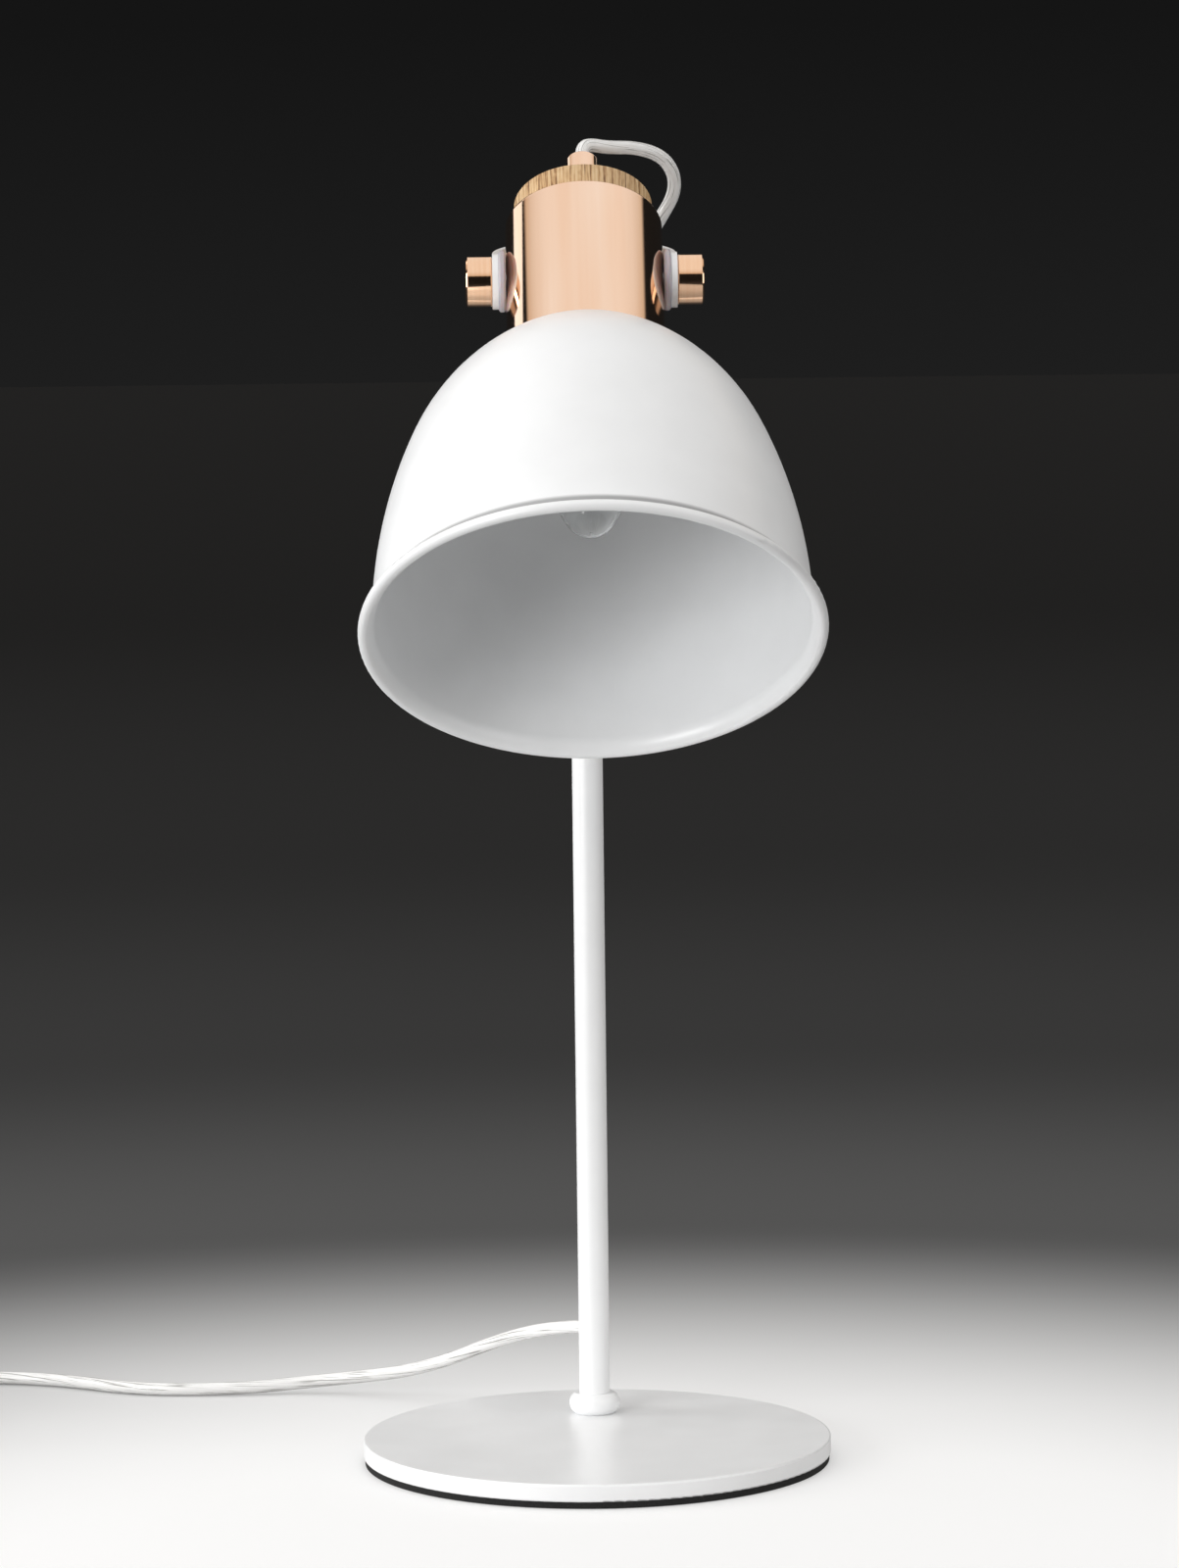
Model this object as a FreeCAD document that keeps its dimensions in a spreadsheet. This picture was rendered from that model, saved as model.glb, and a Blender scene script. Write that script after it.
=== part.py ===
import FreeCAD, Part
import math
import os
import re
import Sketcher
from FreeCAD import Placement, Rotation, Vector

# A desk lamp: a steel foot, a thin stem, a forked bar and a tilting head of copper, wood and spun metal.
# Millimetres and degrees, +Z up, +X to the lamp's right as one faces it, -Y towards whoever sits at it.
# The origin is the middle of the foot's underside.

SIZES = {
    # Foot
    "base_radius": 90.0,
    "plate_height": 6.7,
    "plate_round": 0.8,
    "pad_height": 2.4,
    "pad_inset": 0.6,
    "pad_access_radius": 11.0,
    "screw_radius": 4.0,
    "screw_head_radius": 7.6,
    "screw_sink": 0.2,
    "screw_length": 21.0,
    "screw_socket_radius": 2.9,
    "screw_socket_depth": 2.4,
    # Clearances between pieces
    "press_gap": 0.05,
    "turn_gap": 0.1,
    "face_gap": 0.05,
    "overrun": 5.0,
    # Stem
    "stem_setback": 44.0,
    "stem_radius": 6.0,
    "stem_wall": 1.2,
    "stem_top_drop": 6.0,
    "insert_length": 15.0,
    "foot_collar_height": 8.0,
    "foot_collar_radius": 10.0,
    "foot_collar_edge": 2.3,
    # Tilt axis and fork
    "pivot_height": 452.0,
    "pivot_forward": 24.0,
    "head_tilt": 36.0,
    "yoke_thickness": 2.3,
    "ear_radius": 10.4,
    "yoke_back_rise": 7.5,
    "yoke_back_height": 18.0,
    "yoke_seat_depth": 0.4,
    "block_overtop": 2.0,
    "block_shank": 12.0,
    "block_round": 2.0,
    "yoke_screw_radius": 2.0,
    "yoke_screw_head_radius": 3.7,
    "yoke_screw_sink": 0.4,
    "yoke_screw_length": 9.0,
    "yoke_screw_socket_radius": 1.4,
    "yoke_screw_socket_depth": 1.2,
    # Cord and its grommets
    "cord_radius": 2.6,
    "cord_fit": 0.05,
    "upper_hole_drop": 30.0,
    "upper_hole_slope": 45.0,
    "upper_grommet_reach": 3.1,
    "lower_hole_height": 40.0,
    "lower_hole_slope": 0.0,
    "lower_grommet_reach": 3.6,
    "loop_reach": 38.0,
    "sleeve_radius": 3.8,
    "grommet_lip": 0.6,
    "flange_radius": 5.0,
    "flange_height": 1.0,
    # Copper collar, wood disc and cord gland
    "collar_radius": 29.5,
    "collar_wall": 1.0,
    "collar_above": 25.0,
    "collar_below": 35.0,
    "collar_round": 1.5,
    "wood_radius": 26.0,
    "wood_height": 10.0,
    "wood_round": 0.7,
    "gland_radius": 6.0,
    "gland_height": 22.0,
    "gland_round": 1.6,
    "gland_thread_depth": 9.5,
    "grub_radius": 1.5,
    "grub_drop": 6.0,
    # Threaded nipple, washer and nut
    "nipple_radius": 5.0,
    "nipple_bore_radius": 3.2,
    "nipple_above_wood": 9.0,
    "nipple_in_holder": 8.0,
    "lock_washer_radius": 8.0,
    "lock_washer_height": 0.8,
    "lock_nut_radius": 8.0,
    "lock_nut_height": 3.0,
    # Lamp holder
    "holder_radius": 14.0,
    "holder_wall": 1.9,
    "holder_cap_height": 18.0,
    "holder_cap_round": 5.0,
    "holder_body_height": 49.0,
    "holder_boss_radius": 7.4,
    "holder_boss_height": 8.5,
    "insert_top_gap": 3.0,
    "insert_height": 12.0,
    "holder_throat_radius": 7.8,
    "holder_bell_height": 11.0,
    "shell_radius": 7.7,
    "shell_wall": 0.4,
    "shell_height": 17.0,
    "contact_width": 4.0,
    "contact_height": 0.5,
    "shade_ring_radius": 19.0,
    "shade_ring_flange": 1.2,
    "shade_ring_height": 8.0,
    "shade_ring_flange_height": 2.0,
    "flute_radius": 0.9,
    # Shade
    "shade_wall": 1.0,
    "shade_seat_lip": 0.4,
    "shade_shoulder_arc": 92.0,
    "shade_side_arc": 204.3,
    "shade_side_turn": 20.9,
    "shade_mouth_radius": 79.6,
    "shade_flare_arc": 6.0,
    "shade_flare_turn": 54.0,
    "shade_bead_radius": 2.0,
    # Bulb
    "bulb_reach": 113.6,
    "bulb_length": 98.0,
    "bulb_radius": 17.5,
    "bulb_nose_radius": 10.2,
    "bulb_widest": 37.5,
    "bulb_side_arc": 64.8,
    "bulb_waist": 60.5,
    "bulb_waist_radius": 11.5,
    "bulb_shoulder_arc": 47.5,
    "bulb_neck": 71.0,
    "bulb_neck_radius": 6.2,
    "bulb_neck_arc": 24.0,
    "bulb_glass_wall": 0.7,
    "bulb_glass_length": 79.0,
    "cap_radius": 6.9,
    "cap_wall": 0.3,
    "cap_length": 19.0,
    "cap_thread_depth": 0.6,
    "cap_pitch": 2.8,
    "cap_insulator_height": 2.2,
    "cap_contact_radius": 2.4,
    "cap_contact_height": 0.9,
    "mount_radius": 3.4,
    "mount_tip_radius": 1.2,
    "mount_height": 24.0,
    "mount_flare_height": 2.5,
    "filament_wire_radius": 0.35,
    "filament_spread": 5.0,
    "filament_height": 18.0,
    # Pivot: washers, nuts, studs and knobs
    "washer_radius": 11.5,
    "washer_thickness": 2.65,
    "washer_chamfer": 0.7,
    "stud_radius": 3.0,
    "stud_in_knob": 6.0,
    "pivot_nut_radius": 7.0,
    "pivot_nut_length": 7.0,
    "knob_radius": 9.4,
    "knob_length": 10.4,
    "knob_dome": 0.7,
    "knob_chamfer": 0.5,
    # Switch on the cord
    "switch_length": 60.0,
    "switch_end_width": 14.0,
    "switch_bulge": 6.0,
    "switch_base_height": 7.0,
    "switch_cover_height": 9.0,
    "switch_wall": 1.6,
    "switch_round": 2.5,
    "switch_middle_back": 165.0,
    "switch_near_end": 276.0,
    "cord_in_switch": 3.0,
    "rocker_length": 19.0,
    "rocker_width": 12.0,
    "rocker_end_height": 6.6,
    "rocker_middle_height": 5.2,
    "rocker_skirt_height": 2.0,
    "rocker_tilt": 8.0,
    "rocker_gap": 0.4,
    "rocker_end_gap": 1.2,
    "rocker_pin_height": 10.5,
    "rocker_pin_radius": 1.0,
    "rocker_frame_wall": 1.5,
    "switch_screw_radius": 1.4,
    "switch_screw_head_radius": 2.4,
    "switch_screw_head_height": 1.4,
    "switch_screw_length": 9.0,
    "switch_screw_inset": 11.0,
    "switch_screw_aside": 5.2,
    "switch_post_radius": 2.9,
    "terminal_length": 5.0,
    "terminal_width": 10.0,
    "terminal_height": 4.0,
    "terminal_aside": 6.0,
    # Coil of spare cord
    "link_start": 17.0,
    "link_run": 22.0,
    "coil_middle_back": 108.0,
    "coil_inner_radius": 20.9,
    "coil_pitch": 5.75,
    "cord_rest_height": 2.65,
    "tie_width": 7.0,
    "tie_thickness": 0.8,
    "tie_gap": 0.4,
    # Mains plug
    "plug_axis_height": 7.1,
    "plug_back": 51.0,
    "relief_length": 22.0,
    "relief_root_radius": 5.2,
    "relief_tip_radius": 3.7,
    "relief_groove": 0.8,
    "relief_rib": 1.7,
    "relief_grip": 5.0,
    "plug_length": 36.0,
    "plug_width": 35.3,
    "plug_thickness": 13.7,
    "plug_neck_width": 13.0,
    "plug_shoulder": 20.0,
    "plug_flank_arc": 40.0,
    "plug_round": 2.5,
    "plug_pin_radius": 2.0,
    "plug_pin_spacing": 18.6,
    "plug_pin_length": 19.0,
    "plug_pin_root": 8.0,
    "plug_pin_round": 0.8,
}

COIL_TURNS_IN = 3.5
COIL_TURNS_OUT = 3.5
CAP_RIDGES = 4
RELIEF_RIBS = 5
SHADE_RING_FLUTES = 16

os.makedirs("parts", exist_ok=True)
doc = FreeCAD.newDocument("desk_lamp")
dims = doc.addObject("Spreadsheet::Sheet", "dims")
for row, (name, value) in enumerate(SIZES.items(), 1):
    dims.set(f"A{row}", name)
    dims.set(f"B{row}", str(value))
    dims.setAlias(f"B{row}", name)
doc.recompute()

nodes = []


def mm(text):
    """The number that a sum of named sizes comes to."""
    return float(dims.evalExpression(text))


def ex(text):
    """The same sum with each named size looked up in the sheet."""
    return re.sub(r"[a-z][a-z0-9_]*", lambda m: "dims." + m[0] if m[0] in SIZES else m[0], text)


def bind(thing, **sums):
    """Tie properties of an object to sums of named sizes."""
    for prop, text in sums.items():
        thing.setExpression(prop.replace("__", "."), ex(text))


def place(thing, x="0", y="0", z="0", axis=(0, 0, 1), angle=None):
    """Put an object at a place, and turn it about an axis, by sums of named sizes."""
    start = mm(angle) if angle else 0.0
    thing.Placement = Placement(Vector(mm(x), mm(y), mm(z)), Rotation(Vector(*axis), start))
    bind(thing, Placement__Base__x=x, Placement__Base__y=y, Placement__Base__z=z)
    if angle:
        bind(thing, Placement__Rotation__Angle=angle)


def node(thing, label):
    """Name a finished piece, which then gets its own file."""
    thing.Label = label
    nodes.append(thing)
    return thing


def on_head(thing):
    """Put a piece that is drawn about the tilt axis, with +Z up the head, into the tilted head."""
    place(thing, "0", "-pivot_forward", "pivot_height", (-1, 0, 0), "head_tilt")
    return thing


def on_stem(thing, z="0"):
    """Put a piece that is drawn about its own axis onto the stem's axis."""
    place(thing, "0", "stem_setback", z)
    return thing


def on_pivot(thing, side):
    """Turn a piece drawn with +Z outwards onto the tilt axis, on the right (1) or left (-1)."""
    place(thing, "0", "-pivot_forward", "pivot_height", (0, 1, 0), f"{90 * side}")
    return thing


def arc_between(start, end, radius):
    """A circular arc; its centre is on the left of the way from start to end for a positive radius."""
    chord = end - start
    half = chord.Length / 2
    size = max(abs(radius), half * 1.000001)
    left = Vector(-chord.y, chord.x, 0).normalize()
    middle = (start + end) * 0.5
    centre = middle + left * math.copysign(math.sqrt(size**2 - half**2), radius)
    first, last = (start, end) if radius > 0 else (end, start)
    begin = math.atan2(first.y - centre.y, first.x - centre.x)
    finish = math.atan2(last.y - centre.y, last.x - centre.x)
    return Part.ArcOfCircle(Part.Circle(centre, Vector(0, 0, 1), size), begin, finish)


def draw_outline(sketch, points):
    """Draw a closed outline. A point is (x, y), or (x, y, radius) where an arc leads on to the next point."""
    count = len(points)
    spots = [Vector(mm(p[0]), mm(p[1]), 0) for p in points]
    ends = []
    for i, point in enumerate(points):
        start, end = spots[i], spots[(i + 1) % count]
        if len(point) == 3:
            radius = mm(point[2])
            sketch.addGeometry(arc_between(start, end, radius), False)
            ends.append((1, 2) if radius > 0 else (2, 1))
        else:
            sketch.addGeometry(Part.LineSegment(start, end), False)
            ends.append((1, 2))
    for i in range(count):
        after = (i + 1) % count
        sketch.addConstraint(Sketcher.Constraint("Coincident", i, ends[i][1], after, ends[after][0]))
    for i, point in enumerate(points):
        for text, kind, line in ((point[0], "DistanceX", -2), (point[1], "DistanceY", -1)):
            if text == "0":
                sketch.addConstraint(Sketcher.Constraint("PointOnObject", i, ends[i][0], line))
            else:
                number = sketch.addConstraint(
                    Sketcher.Constraint(kind, -1, 1, i, ends[i][0], mm(text))
                )
                sketch.setExpression(f"Constraints[{number}]", ex(text))
        if len(point) == 3:
            text = point[2].lstrip("-") if point[2].startswith("-") else point[2]
            number = sketch.addConstraint(Sketcher.Constraint("Radius", i, abs(mm(point[2]))))
            sketch.setExpression(f"Constraints[{number}]", ex(text))


def draw_circle(sketch, x, y, radius):
    """Draw one circle by the place of its centre and its radius."""
    spot = Vector(mm(x), mm(y), 0)
    number = sketch.addGeometry(Part.Circle(spot, Vector(0, 0, 1), mm(radius)), False)
    for text, kind, line in ((x, "DistanceX", -2), (y, "DistanceY", -1)):
        if text == "0":
            sketch.addConstraint(Sketcher.Constraint("PointOnObject", number, 3, line))
        else:
            at = sketch.addConstraint(Sketcher.Constraint(kind, -1, 1, number, 3, mm(text)))
            sketch.setExpression(f"Constraints[{at}]", ex(text))
    at = sketch.addConstraint(Sketcher.Constraint("Radius", number, mm(radius)))
    sketch.setExpression(f"Constraints[{at}]", ex(radius))


def sketch_in(body, plane, name):
    """A sketch on one of a body's own origin planes."""
    sketch = body.newObject("Sketcher::SketchObject", name)
    support = next(o for o in body.Origin.OriginFeatures if o.Role == plane)
    sketch.AttachmentSupport = (support, "")
    sketch.MapMode = "FlatFace"
    return sketch


def new_body(name):
    return doc.addObject("PartDesign::Body", name)


def turned(name, points):
    """A turned piece: its section, x outwards and y up, goes once round the Z axis."""
    body = new_body(name + "_body")
    sketch = sketch_in(body, "XZ_Plane", name + "_section")
    draw_outline(sketch, points)
    spin = body.newObject("PartDesign::Revolution", name + "_turn")
    spin.Profile = sketch
    spin.ReferenceAxis = (sketch, ["V_Axis"])
    spin.Angle = 360
    sketch.Visibility = False
    return body


def added_ring(body, name, x, y, radius):
    """A round bead on a turned piece."""
    sketch = sketch_in(body, "XZ_Plane", name + "_section")
    draw_circle(sketch, x, y, radius)
    spin = body.newObject("PartDesign::Revolution", name + "_turn")
    spin.Profile = sketch
    spin.ReferenceAxis = (sketch, ["V_Axis"])
    spin.Angle = 360


def cylinder(name, radius, height, base="0"):
    """A cylinder along its own Z axis, from a base height upwards, before it is placed."""
    thing = doc.addObject("Part::Cylinder", name)
    bind(thing, Radius=radius, Height=height)
    place(thing, "0", "0", base)
    return thing


def box(name, length, width, height, x="0", y="0", z="0"):
    """A box with its low corner at a place."""
    thing = doc.addObject("Part::Box", name)
    bind(thing, Length=length, Width=width, Height=height)
    place(thing, x, y, z)
    return thing


def cut(name, base, *tools):
    """The base less each tool."""
    thing = base
    for i, tool in enumerate(tools):
        less = doc.addObject("Part::Cut", f"{name}_{i}" if i < len(tools) - 1 else name)
        less.Base = thing
        less.Tool = tool
        thing = less
    return thing


def fuse(name, *things):
    joined = doc.addObject("Part::MultiFuse", name)
    joined.Shapes = list(things)
    return joined


def common(name, *things):
    shared = doc.addObject("Part::MultiCommon", name)
    shared.Shapes = list(things)
    return shared


def extruded(name, points, height, plane="XY"):
    """A closed outline drawn in a plane and pushed out along that plane's normal."""
    sketch = doc.addObject("Sketcher::SketchObject", name + "_outline")
    turn = {"XY": Rotation(), "XZ": Rotation(Vector(1, 0, 0), 90), "YZ": Rotation(Vector(1, 1, 1), 120)}
    sketch.Placement = Placement(Vector(), turn[plane])
    draw_outline(sketch, points)
    solid = doc.addObject("Part::Extrusion", name)
    solid.Base = sketch
    solid.DirMode = "Normal"
    solid.Solid = True
    bind(solid, LengthFwd=height)
    return solid


def hexagon(name, radius, height):
    thing = doc.addObject("Part::Prism", name)
    thing.Polygon = 6
    bind(thing, Circumradius=radius, Height=height)
    return thing


# Foot: a flat steel disc on a foam pad, with a countersunk screw up into the stem.

PLATE_TOP = "pad_height + plate_height"

plate_blank = turned("plate_blank", [
    ("0", "pad_height"),
    ("base_radius - plate_round", "pad_height", "plate_round"),
    ("base_radius", "pad_height + plate_round"),
    ("base_radius", f"{PLATE_TOP} - plate_round", "plate_round"),
    ("base_radius - plate_round", PLATE_TOP),
    ("0", PLATE_TOP),
])
sink_depth = "screw_head_radius - screw_radius"
plate_hole = on_stem(turned("plate_hole", [
    ("0", "-overrun"),
    ("screw_head_radius + turn_gap", "-overrun"),
    ("screw_head_radius + turn_gap", "pad_height + screw_sink"),
    ("screw_radius + turn_gap", f"pad_height + screw_sink + {sink_depth}"),
    ("screw_radius + turn_gap", f"{PLATE_TOP} + overrun"),
    ("0", f"{PLATE_TOP} + overrun"),
]))
node(cut("plate", plate_blank, plate_hole), "base_plate")

pad_access = on_stem(cylinder("pad_access", "pad_access_radius", "pad_height + 2 * overrun"), "-overrun")
node(cut("pad", cylinder("pad_disc", "base_radius - pad_inset", "pad_height"), pad_access), "base_pad")

screw_low = "pad_height + screw_sink"
screw_blank = on_stem(turned("screw_blank", [
    ("0", screw_low),
    ("screw_head_radius", screw_low),
    ("screw_radius", f"{screw_low} + {sink_depth}"),
    ("screw_radius", f"{screw_low} + screw_length"),
    ("0", f"{screw_low} + screw_length"),
]))
screw_socket = hexagon("screw_socket", "screw_socket_radius", "overrun + screw_socket_depth")
on_stem(screw_socket, f"{screw_low} - overrun")
node(cut("screw", screw_blank, screw_socket), "base_screw")

# Stem: a thin tube with a threaded insert below, a cord hole in the back near each end, a ring at its foot.

STEM_TOP = "pivot_height - stem_top_drop"
bore = "stem_radius - stem_wall"

node(on_stem(turned("insert", [
    ("screw_radius + press_gap", PLATE_TOP),
    (f"{bore} - press_gap", PLATE_TOP),
    (f"{bore} - press_gap", f"{PLATE_TOP} + insert_length"),
    ("screw_radius + press_gap", f"{PLATE_TOP} + insert_length"),
])), "stem_insert")

side = "foot_collar_edge"
side_arc = f"((foot_collar_height / 2)^2 + {side}^2) / (2 * {side})"
node(on_stem(turned("foot_ring", [
    ("stem_radius + press_gap", PLATE_TOP),
    (f"foot_collar_radius - {side}", PLATE_TOP, side_arc),
    (f"foot_collar_radius - {side}", f"{PLATE_TOP} + foot_collar_height"),
    ("stem_radius + press_gap", f"{PLATE_TOP} + foot_collar_height"),
])), "foot_collar")


WALL_BACK = "(stem_radius - sqrt((stem_radius - stem_wall)^2 - sleeve_radius^2) + grommet_lip)"


def through_wall(name, radius, height, slope, outside):
    """A round bar through the stem's back wall, from just inside the bore to a way outside it."""
    inside = f"({WALL_BACK} / cos({slope}) + sleeve_radius * tan({slope}))"
    bar = cylinder(name, radius, f"{inside} + {outside}")
    place(bar, "0", f"stem_setback + stem_radius - {inside} * cos({slope})",
          f"{height} - {inside} * sin({slope})", (-1, 0, 0), f"90 - {slope}")
    return bar


def grommet(name, height, slope, reach):
    """A rubber sleeve through the stem's wall, with a flange that hugs the outside of the tube."""

    def round_stem(part_name, radius):
        bar = cylinder(name + part_name, radius, "4 * flange_radius")
        return on_stem(bar, f"{height} - 2 * flange_radius")

    sleeve = through_wall(name + "_bar", "sleeve_radius", height, slope, reach)
    trimmed = cut(name + "_sleeve", sleeve, round_stem("_bore", f"{bore} - grommet_lip"))
    disc = through_wall(name + "_disc", "flange_radius", height, slope, "overrun")
    skin_piece = common(name + "_hug", disc, round_stem("_around", "stem_radius + flange_height"))
    flange = cut(name + "_flange", skin_piece, round_stem("_inside", "stem_radius + press_gap"))
    way = through_wall(name + "_way", "cord_radius + cord_fit", height, slope, f"{reach} + overrun")
    return cut(name, fuse(name + "_whole", trimmed, flange), way)


UPPER_HOLE = ("pivot_height - upper_hole_drop", "upper_hole_slope")
LOWER_HOLE = ("lower_hole_height", "lower_hole_slope")

stem_outside = on_stem(cylinder("stem_outside", "stem_radius", f"{STEM_TOP} - ({PLATE_TOP})"), PLATE_TOP)
stem_inside = on_stem(cylinder("stem_inside", bore, f"{STEM_TOP} + overrun"), "0")
upper_hole = through_wall("upper_hole", "sleeve_radius + press_gap", *UPPER_HOLE, "overrun")
lower_hole = through_wall("lower_hole", "sleeve_radius + press_gap", *LOWER_HOLE, "overrun")
node(cut("stem", stem_outside, stem_inside, upper_hole, lower_hole), "stem_tube")
node(grommet("upper", *UPPER_HOLE, "upper_grommet_reach"), "upper_grommet")
node(grommet("lower", *LOWER_HOLE, "lower_grommet_reach"), "lower_grommet")

# Fork: a flat bar with tapering sides, straight at both ears and bent to an oval round the head's back.

ear_inside = "collar_radius + face_gap + washer_thickness + face_gap"
half_width = f"({ear_inside} + yoke_thickness)"
depth = "(stem_setback + pivot_forward - stem_radius + yoke_seat_depth)"
band = "2 * (ear_radius + yoke_back_rise + yoke_back_height)"
band_low = "pivot_height - ear_radius - yoke_back_rise - yoke_back_height"


def oval(name, smaller="0"):
    """A solid half as deep and wide as the fork, drawn in by a thickness."""
    ring = doc.addObject("Part::Ellipse", name + "_line")
    bind(ring, MajorRadius=f"{depth} - washer_radius - ({smaller})", MinorRadius=f"{half_width} - ({smaller})")
    place(ring, "0", "-pivot_forward + washer_radius", band_low, (0, 0, 1), "90")
    solid = doc.addObject("Part::Extrusion", name)
    solid.Base = ring
    solid.Dir = Vector(0, 0, 1)
    solid.DirMode = "Custom"
    solid.Solid = True
    bind(solid, LengthFwd=band)
    return solid


fork_oval = cut("fork_oval", oval("fork_outer"), oval("fork_inner", "yoke_thickness"))
back_room = box("back_room", f"2 * {half_width} + 2 * overrun", f"{depth} + overrun", band,
                f"-{half_width} - overrun", "-pivot_forward + washer_radius", band_low)
fork_bend = common("fork_bend", fork_oval, back_room)
ear_strips = [
    box(name, "yoke_thickness", "ear_radius + washer_radius", band, x, "-pivot_forward - ear_radius", band_low)
    for name, x in (("right_strip", ear_inside), ("left_strip", f"-{half_width}"))
]
fork_bar = fuse("fork_bar", fork_bend, *ear_strips)

fork_side = extruded("fork_side", [
    ("-pivot_forward", "pivot_height - ear_radius"),
    ("-pivot_forward + washer_radius", "pivot_height - ear_radius"),
    (f"-pivot_forward + {depth} + overrun", "pivot_height + yoke_back_rise - yoke_back_height / 2"),
    (f"-pivot_forward + {depth} + overrun", "pivot_height + yoke_back_rise + yoke_back_height / 2"),
    ("-pivot_forward + washer_radius", "pivot_height + ear_radius"),
    ("-pivot_forward", "pivot_height + ear_radius"),
], f"2 * {half_width} + 2 * overrun", "YZ")
bind(fork_side, Placement__Base__x=f"-{half_width} - overrun")
ear_disc = cylinder("ear_disc", "ear_radius", f"2 * {half_width} + 2 * overrun")
place(ear_disc, f"-{half_width} - overrun", "-pivot_forward", "pivot_height", (0, 1, 0), "90")
fork_shape = common("fork_shape", fork_bar, fuse("fork_sides", fork_side, ear_disc))
stud_way = cylinder("stud_way", "stud_radius + turn_gap", f"2 * {half_width} + 2 * overrun")
place(stud_way, f"-{half_width} - overrun", "-pivot_forward", "pivot_height", (0, 1, 0), "90")

BACK_HEIGHT = "pivot_height + yoke_back_rise"
head_face = f"-pivot_forward + {depth} - yoke_thickness + yoke_screw_sink"
head_depth = "(yoke_screw_head_radius - yoke_screw_radius)"


def backwards(thing, y, z):
    """Lay a turned piece down so that its +Z points to the lamp's back."""
    place(thing, "0", y, z, (-1, 0, 0), "90")
    return thing


screw_way = backwards(turned("screw_way", [
    ("0", "-overrun"),
    ("yoke_screw_head_radius + press_gap", "-overrun"),
    ("yoke_screw_head_radius + press_gap", "0"),
    ("yoke_screw_radius + press_gap", head_depth),
    ("yoke_screw_radius + press_gap", "yoke_screw_length + press_gap"),
    ("0", "yoke_screw_length + press_gap"),
]), head_face, BACK_HEIGHT)
node(cut("fork", fork_shape, stud_way, screw_way), "yoke")

yoke_screw_blank = backwards(turned("yoke_screw_blank", [
    ("0", "0"),
    ("yoke_screw_head_radius", "0"),
    ("yoke_screw_radius", head_depth),
    ("yoke_screw_radius", "yoke_screw_length"),
    ("0", "yoke_screw_length"),
]), head_face, BACK_HEIGHT)
yoke_screw_socket = hexagon("yoke_screw_socket", "yoke_screw_socket_radius",
                            "overrun + yoke_screw_socket_depth")
backwards(yoke_screw_socket, f"{head_face} - overrun", BACK_HEIGHT)
node(cut("fork_screw", yoke_screw_blank, yoke_screw_socket), "yoke_screw")

# The block closes the stem's top, and its milled front carries the fork.

block_top = "yoke_back_rise + yoke_back_height / 2 + block_overtop + stem_top_drop"
block_blank = on_stem(turned("block_blank", [
    ("0", "-block_shank"),
    (f"{bore} - press_gap", "-block_shank"),
    (f"{bore} - press_gap", "0"),
    ("stem_radius", "0"),
    ("stem_radius", f"{block_top} - block_round", "block_round"),
    ("stem_radius - block_round", block_top),
    ("0", block_top),
]), STEM_TOP)
block_seat = oval("block_seat", "-press_gap")
node(cut("stem_block", block_blank, block_seat, screw_way), "yoke_block")

# Head: everything here is drawn about the tilt axis, with +Z up towards the cord gland.

hole_side = "nipple_radius + turn_gap"
collar_blank = on_head(turned("collar_blank", [
    ("collar_radius - collar_wall", "-collar_below"),
    ("collar_radius", "-collar_below"),
    ("collar_radius", "collar_above - collar_round", "collar_round"),
    ("collar_radius - collar_round", "collar_above"),
    (hole_side, "collar_above"),
    (hole_side, "collar_above - collar_wall"),
    ("collar_radius - collar_wall", "collar_above - collar_wall"),
]))
node(cut("collar_cup", collar_blank, stud_way), "copper_collar")

WOOD_TOP = "(collar_above + wood_height)"
node(on_head(turned("disc", [
    (hole_side, "collar_above"),
    ("wood_radius - wood_round", "collar_above", "wood_round"),
    ("wood_radius", "collar_above + wood_round"),
    ("wood_radius", f"{WOOD_TOP} - wood_round", "wood_round"),
    ("wood_radius - wood_round", WOOD_TOP),
    (hole_side, WOOD_TOP),
])), "wood_disc")

GLAND_TOP = f"({WOOD_TOP} + gland_height)"
gland_blank = on_head(turned("gland_blank", [
    ("nipple_radius + press_gap", WOOD_TOP),
    ("gland_radius", WOOD_TOP),
    ("gland_radius", f"{GLAND_TOP} - gland_round", "gland_round"),
    ("gland_radius - gland_round", GLAND_TOP),
    ("cord_radius + cord_fit", GLAND_TOP),
    ("cord_radius + cord_fit", f"{WOOD_TOP} + gland_thread_depth"),
    ("nipple_radius + press_gap", f"{WOOD_TOP} + gland_thread_depth"),
]))


def across_gland(thing, reach):
    """Lay a piece across the gland, pointing to its back, a little below its top."""
    drop = f"({GLAND_TOP} - grub_drop)"
    place(thing, "0",
          f"-pivot_forward + {drop} * sin(head_tilt) + ({reach}) * cos(head_tilt)",
          f"pivot_height + {drop} * cos(head_tilt) - ({reach}) * sin(head_tilt)",
          (-1, 0, 0), "90 + head_tilt")
    return thing


grub_way = across_gland(cylinder("grub_way", "grub_radius + press_gap", "gland_radius + overrun"), "0")
node(cut("gland", gland_blank, grub_way), "cord_gland")
grub_start = "(cord_radius + cord_fit)"
grub_blank = across_gland(
    cylinder("grub_blank", "grub_radius", f"gland_radius - {grub_start}"), grub_start)
grub_slot = across_gland(hexagon("grub_socket", "grub_radius / 2", "overrun"),
                         "gland_radius - grub_radius / 2")
node(cut("grub", grub_blank, grub_slot), "gland_grub_screw")

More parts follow.
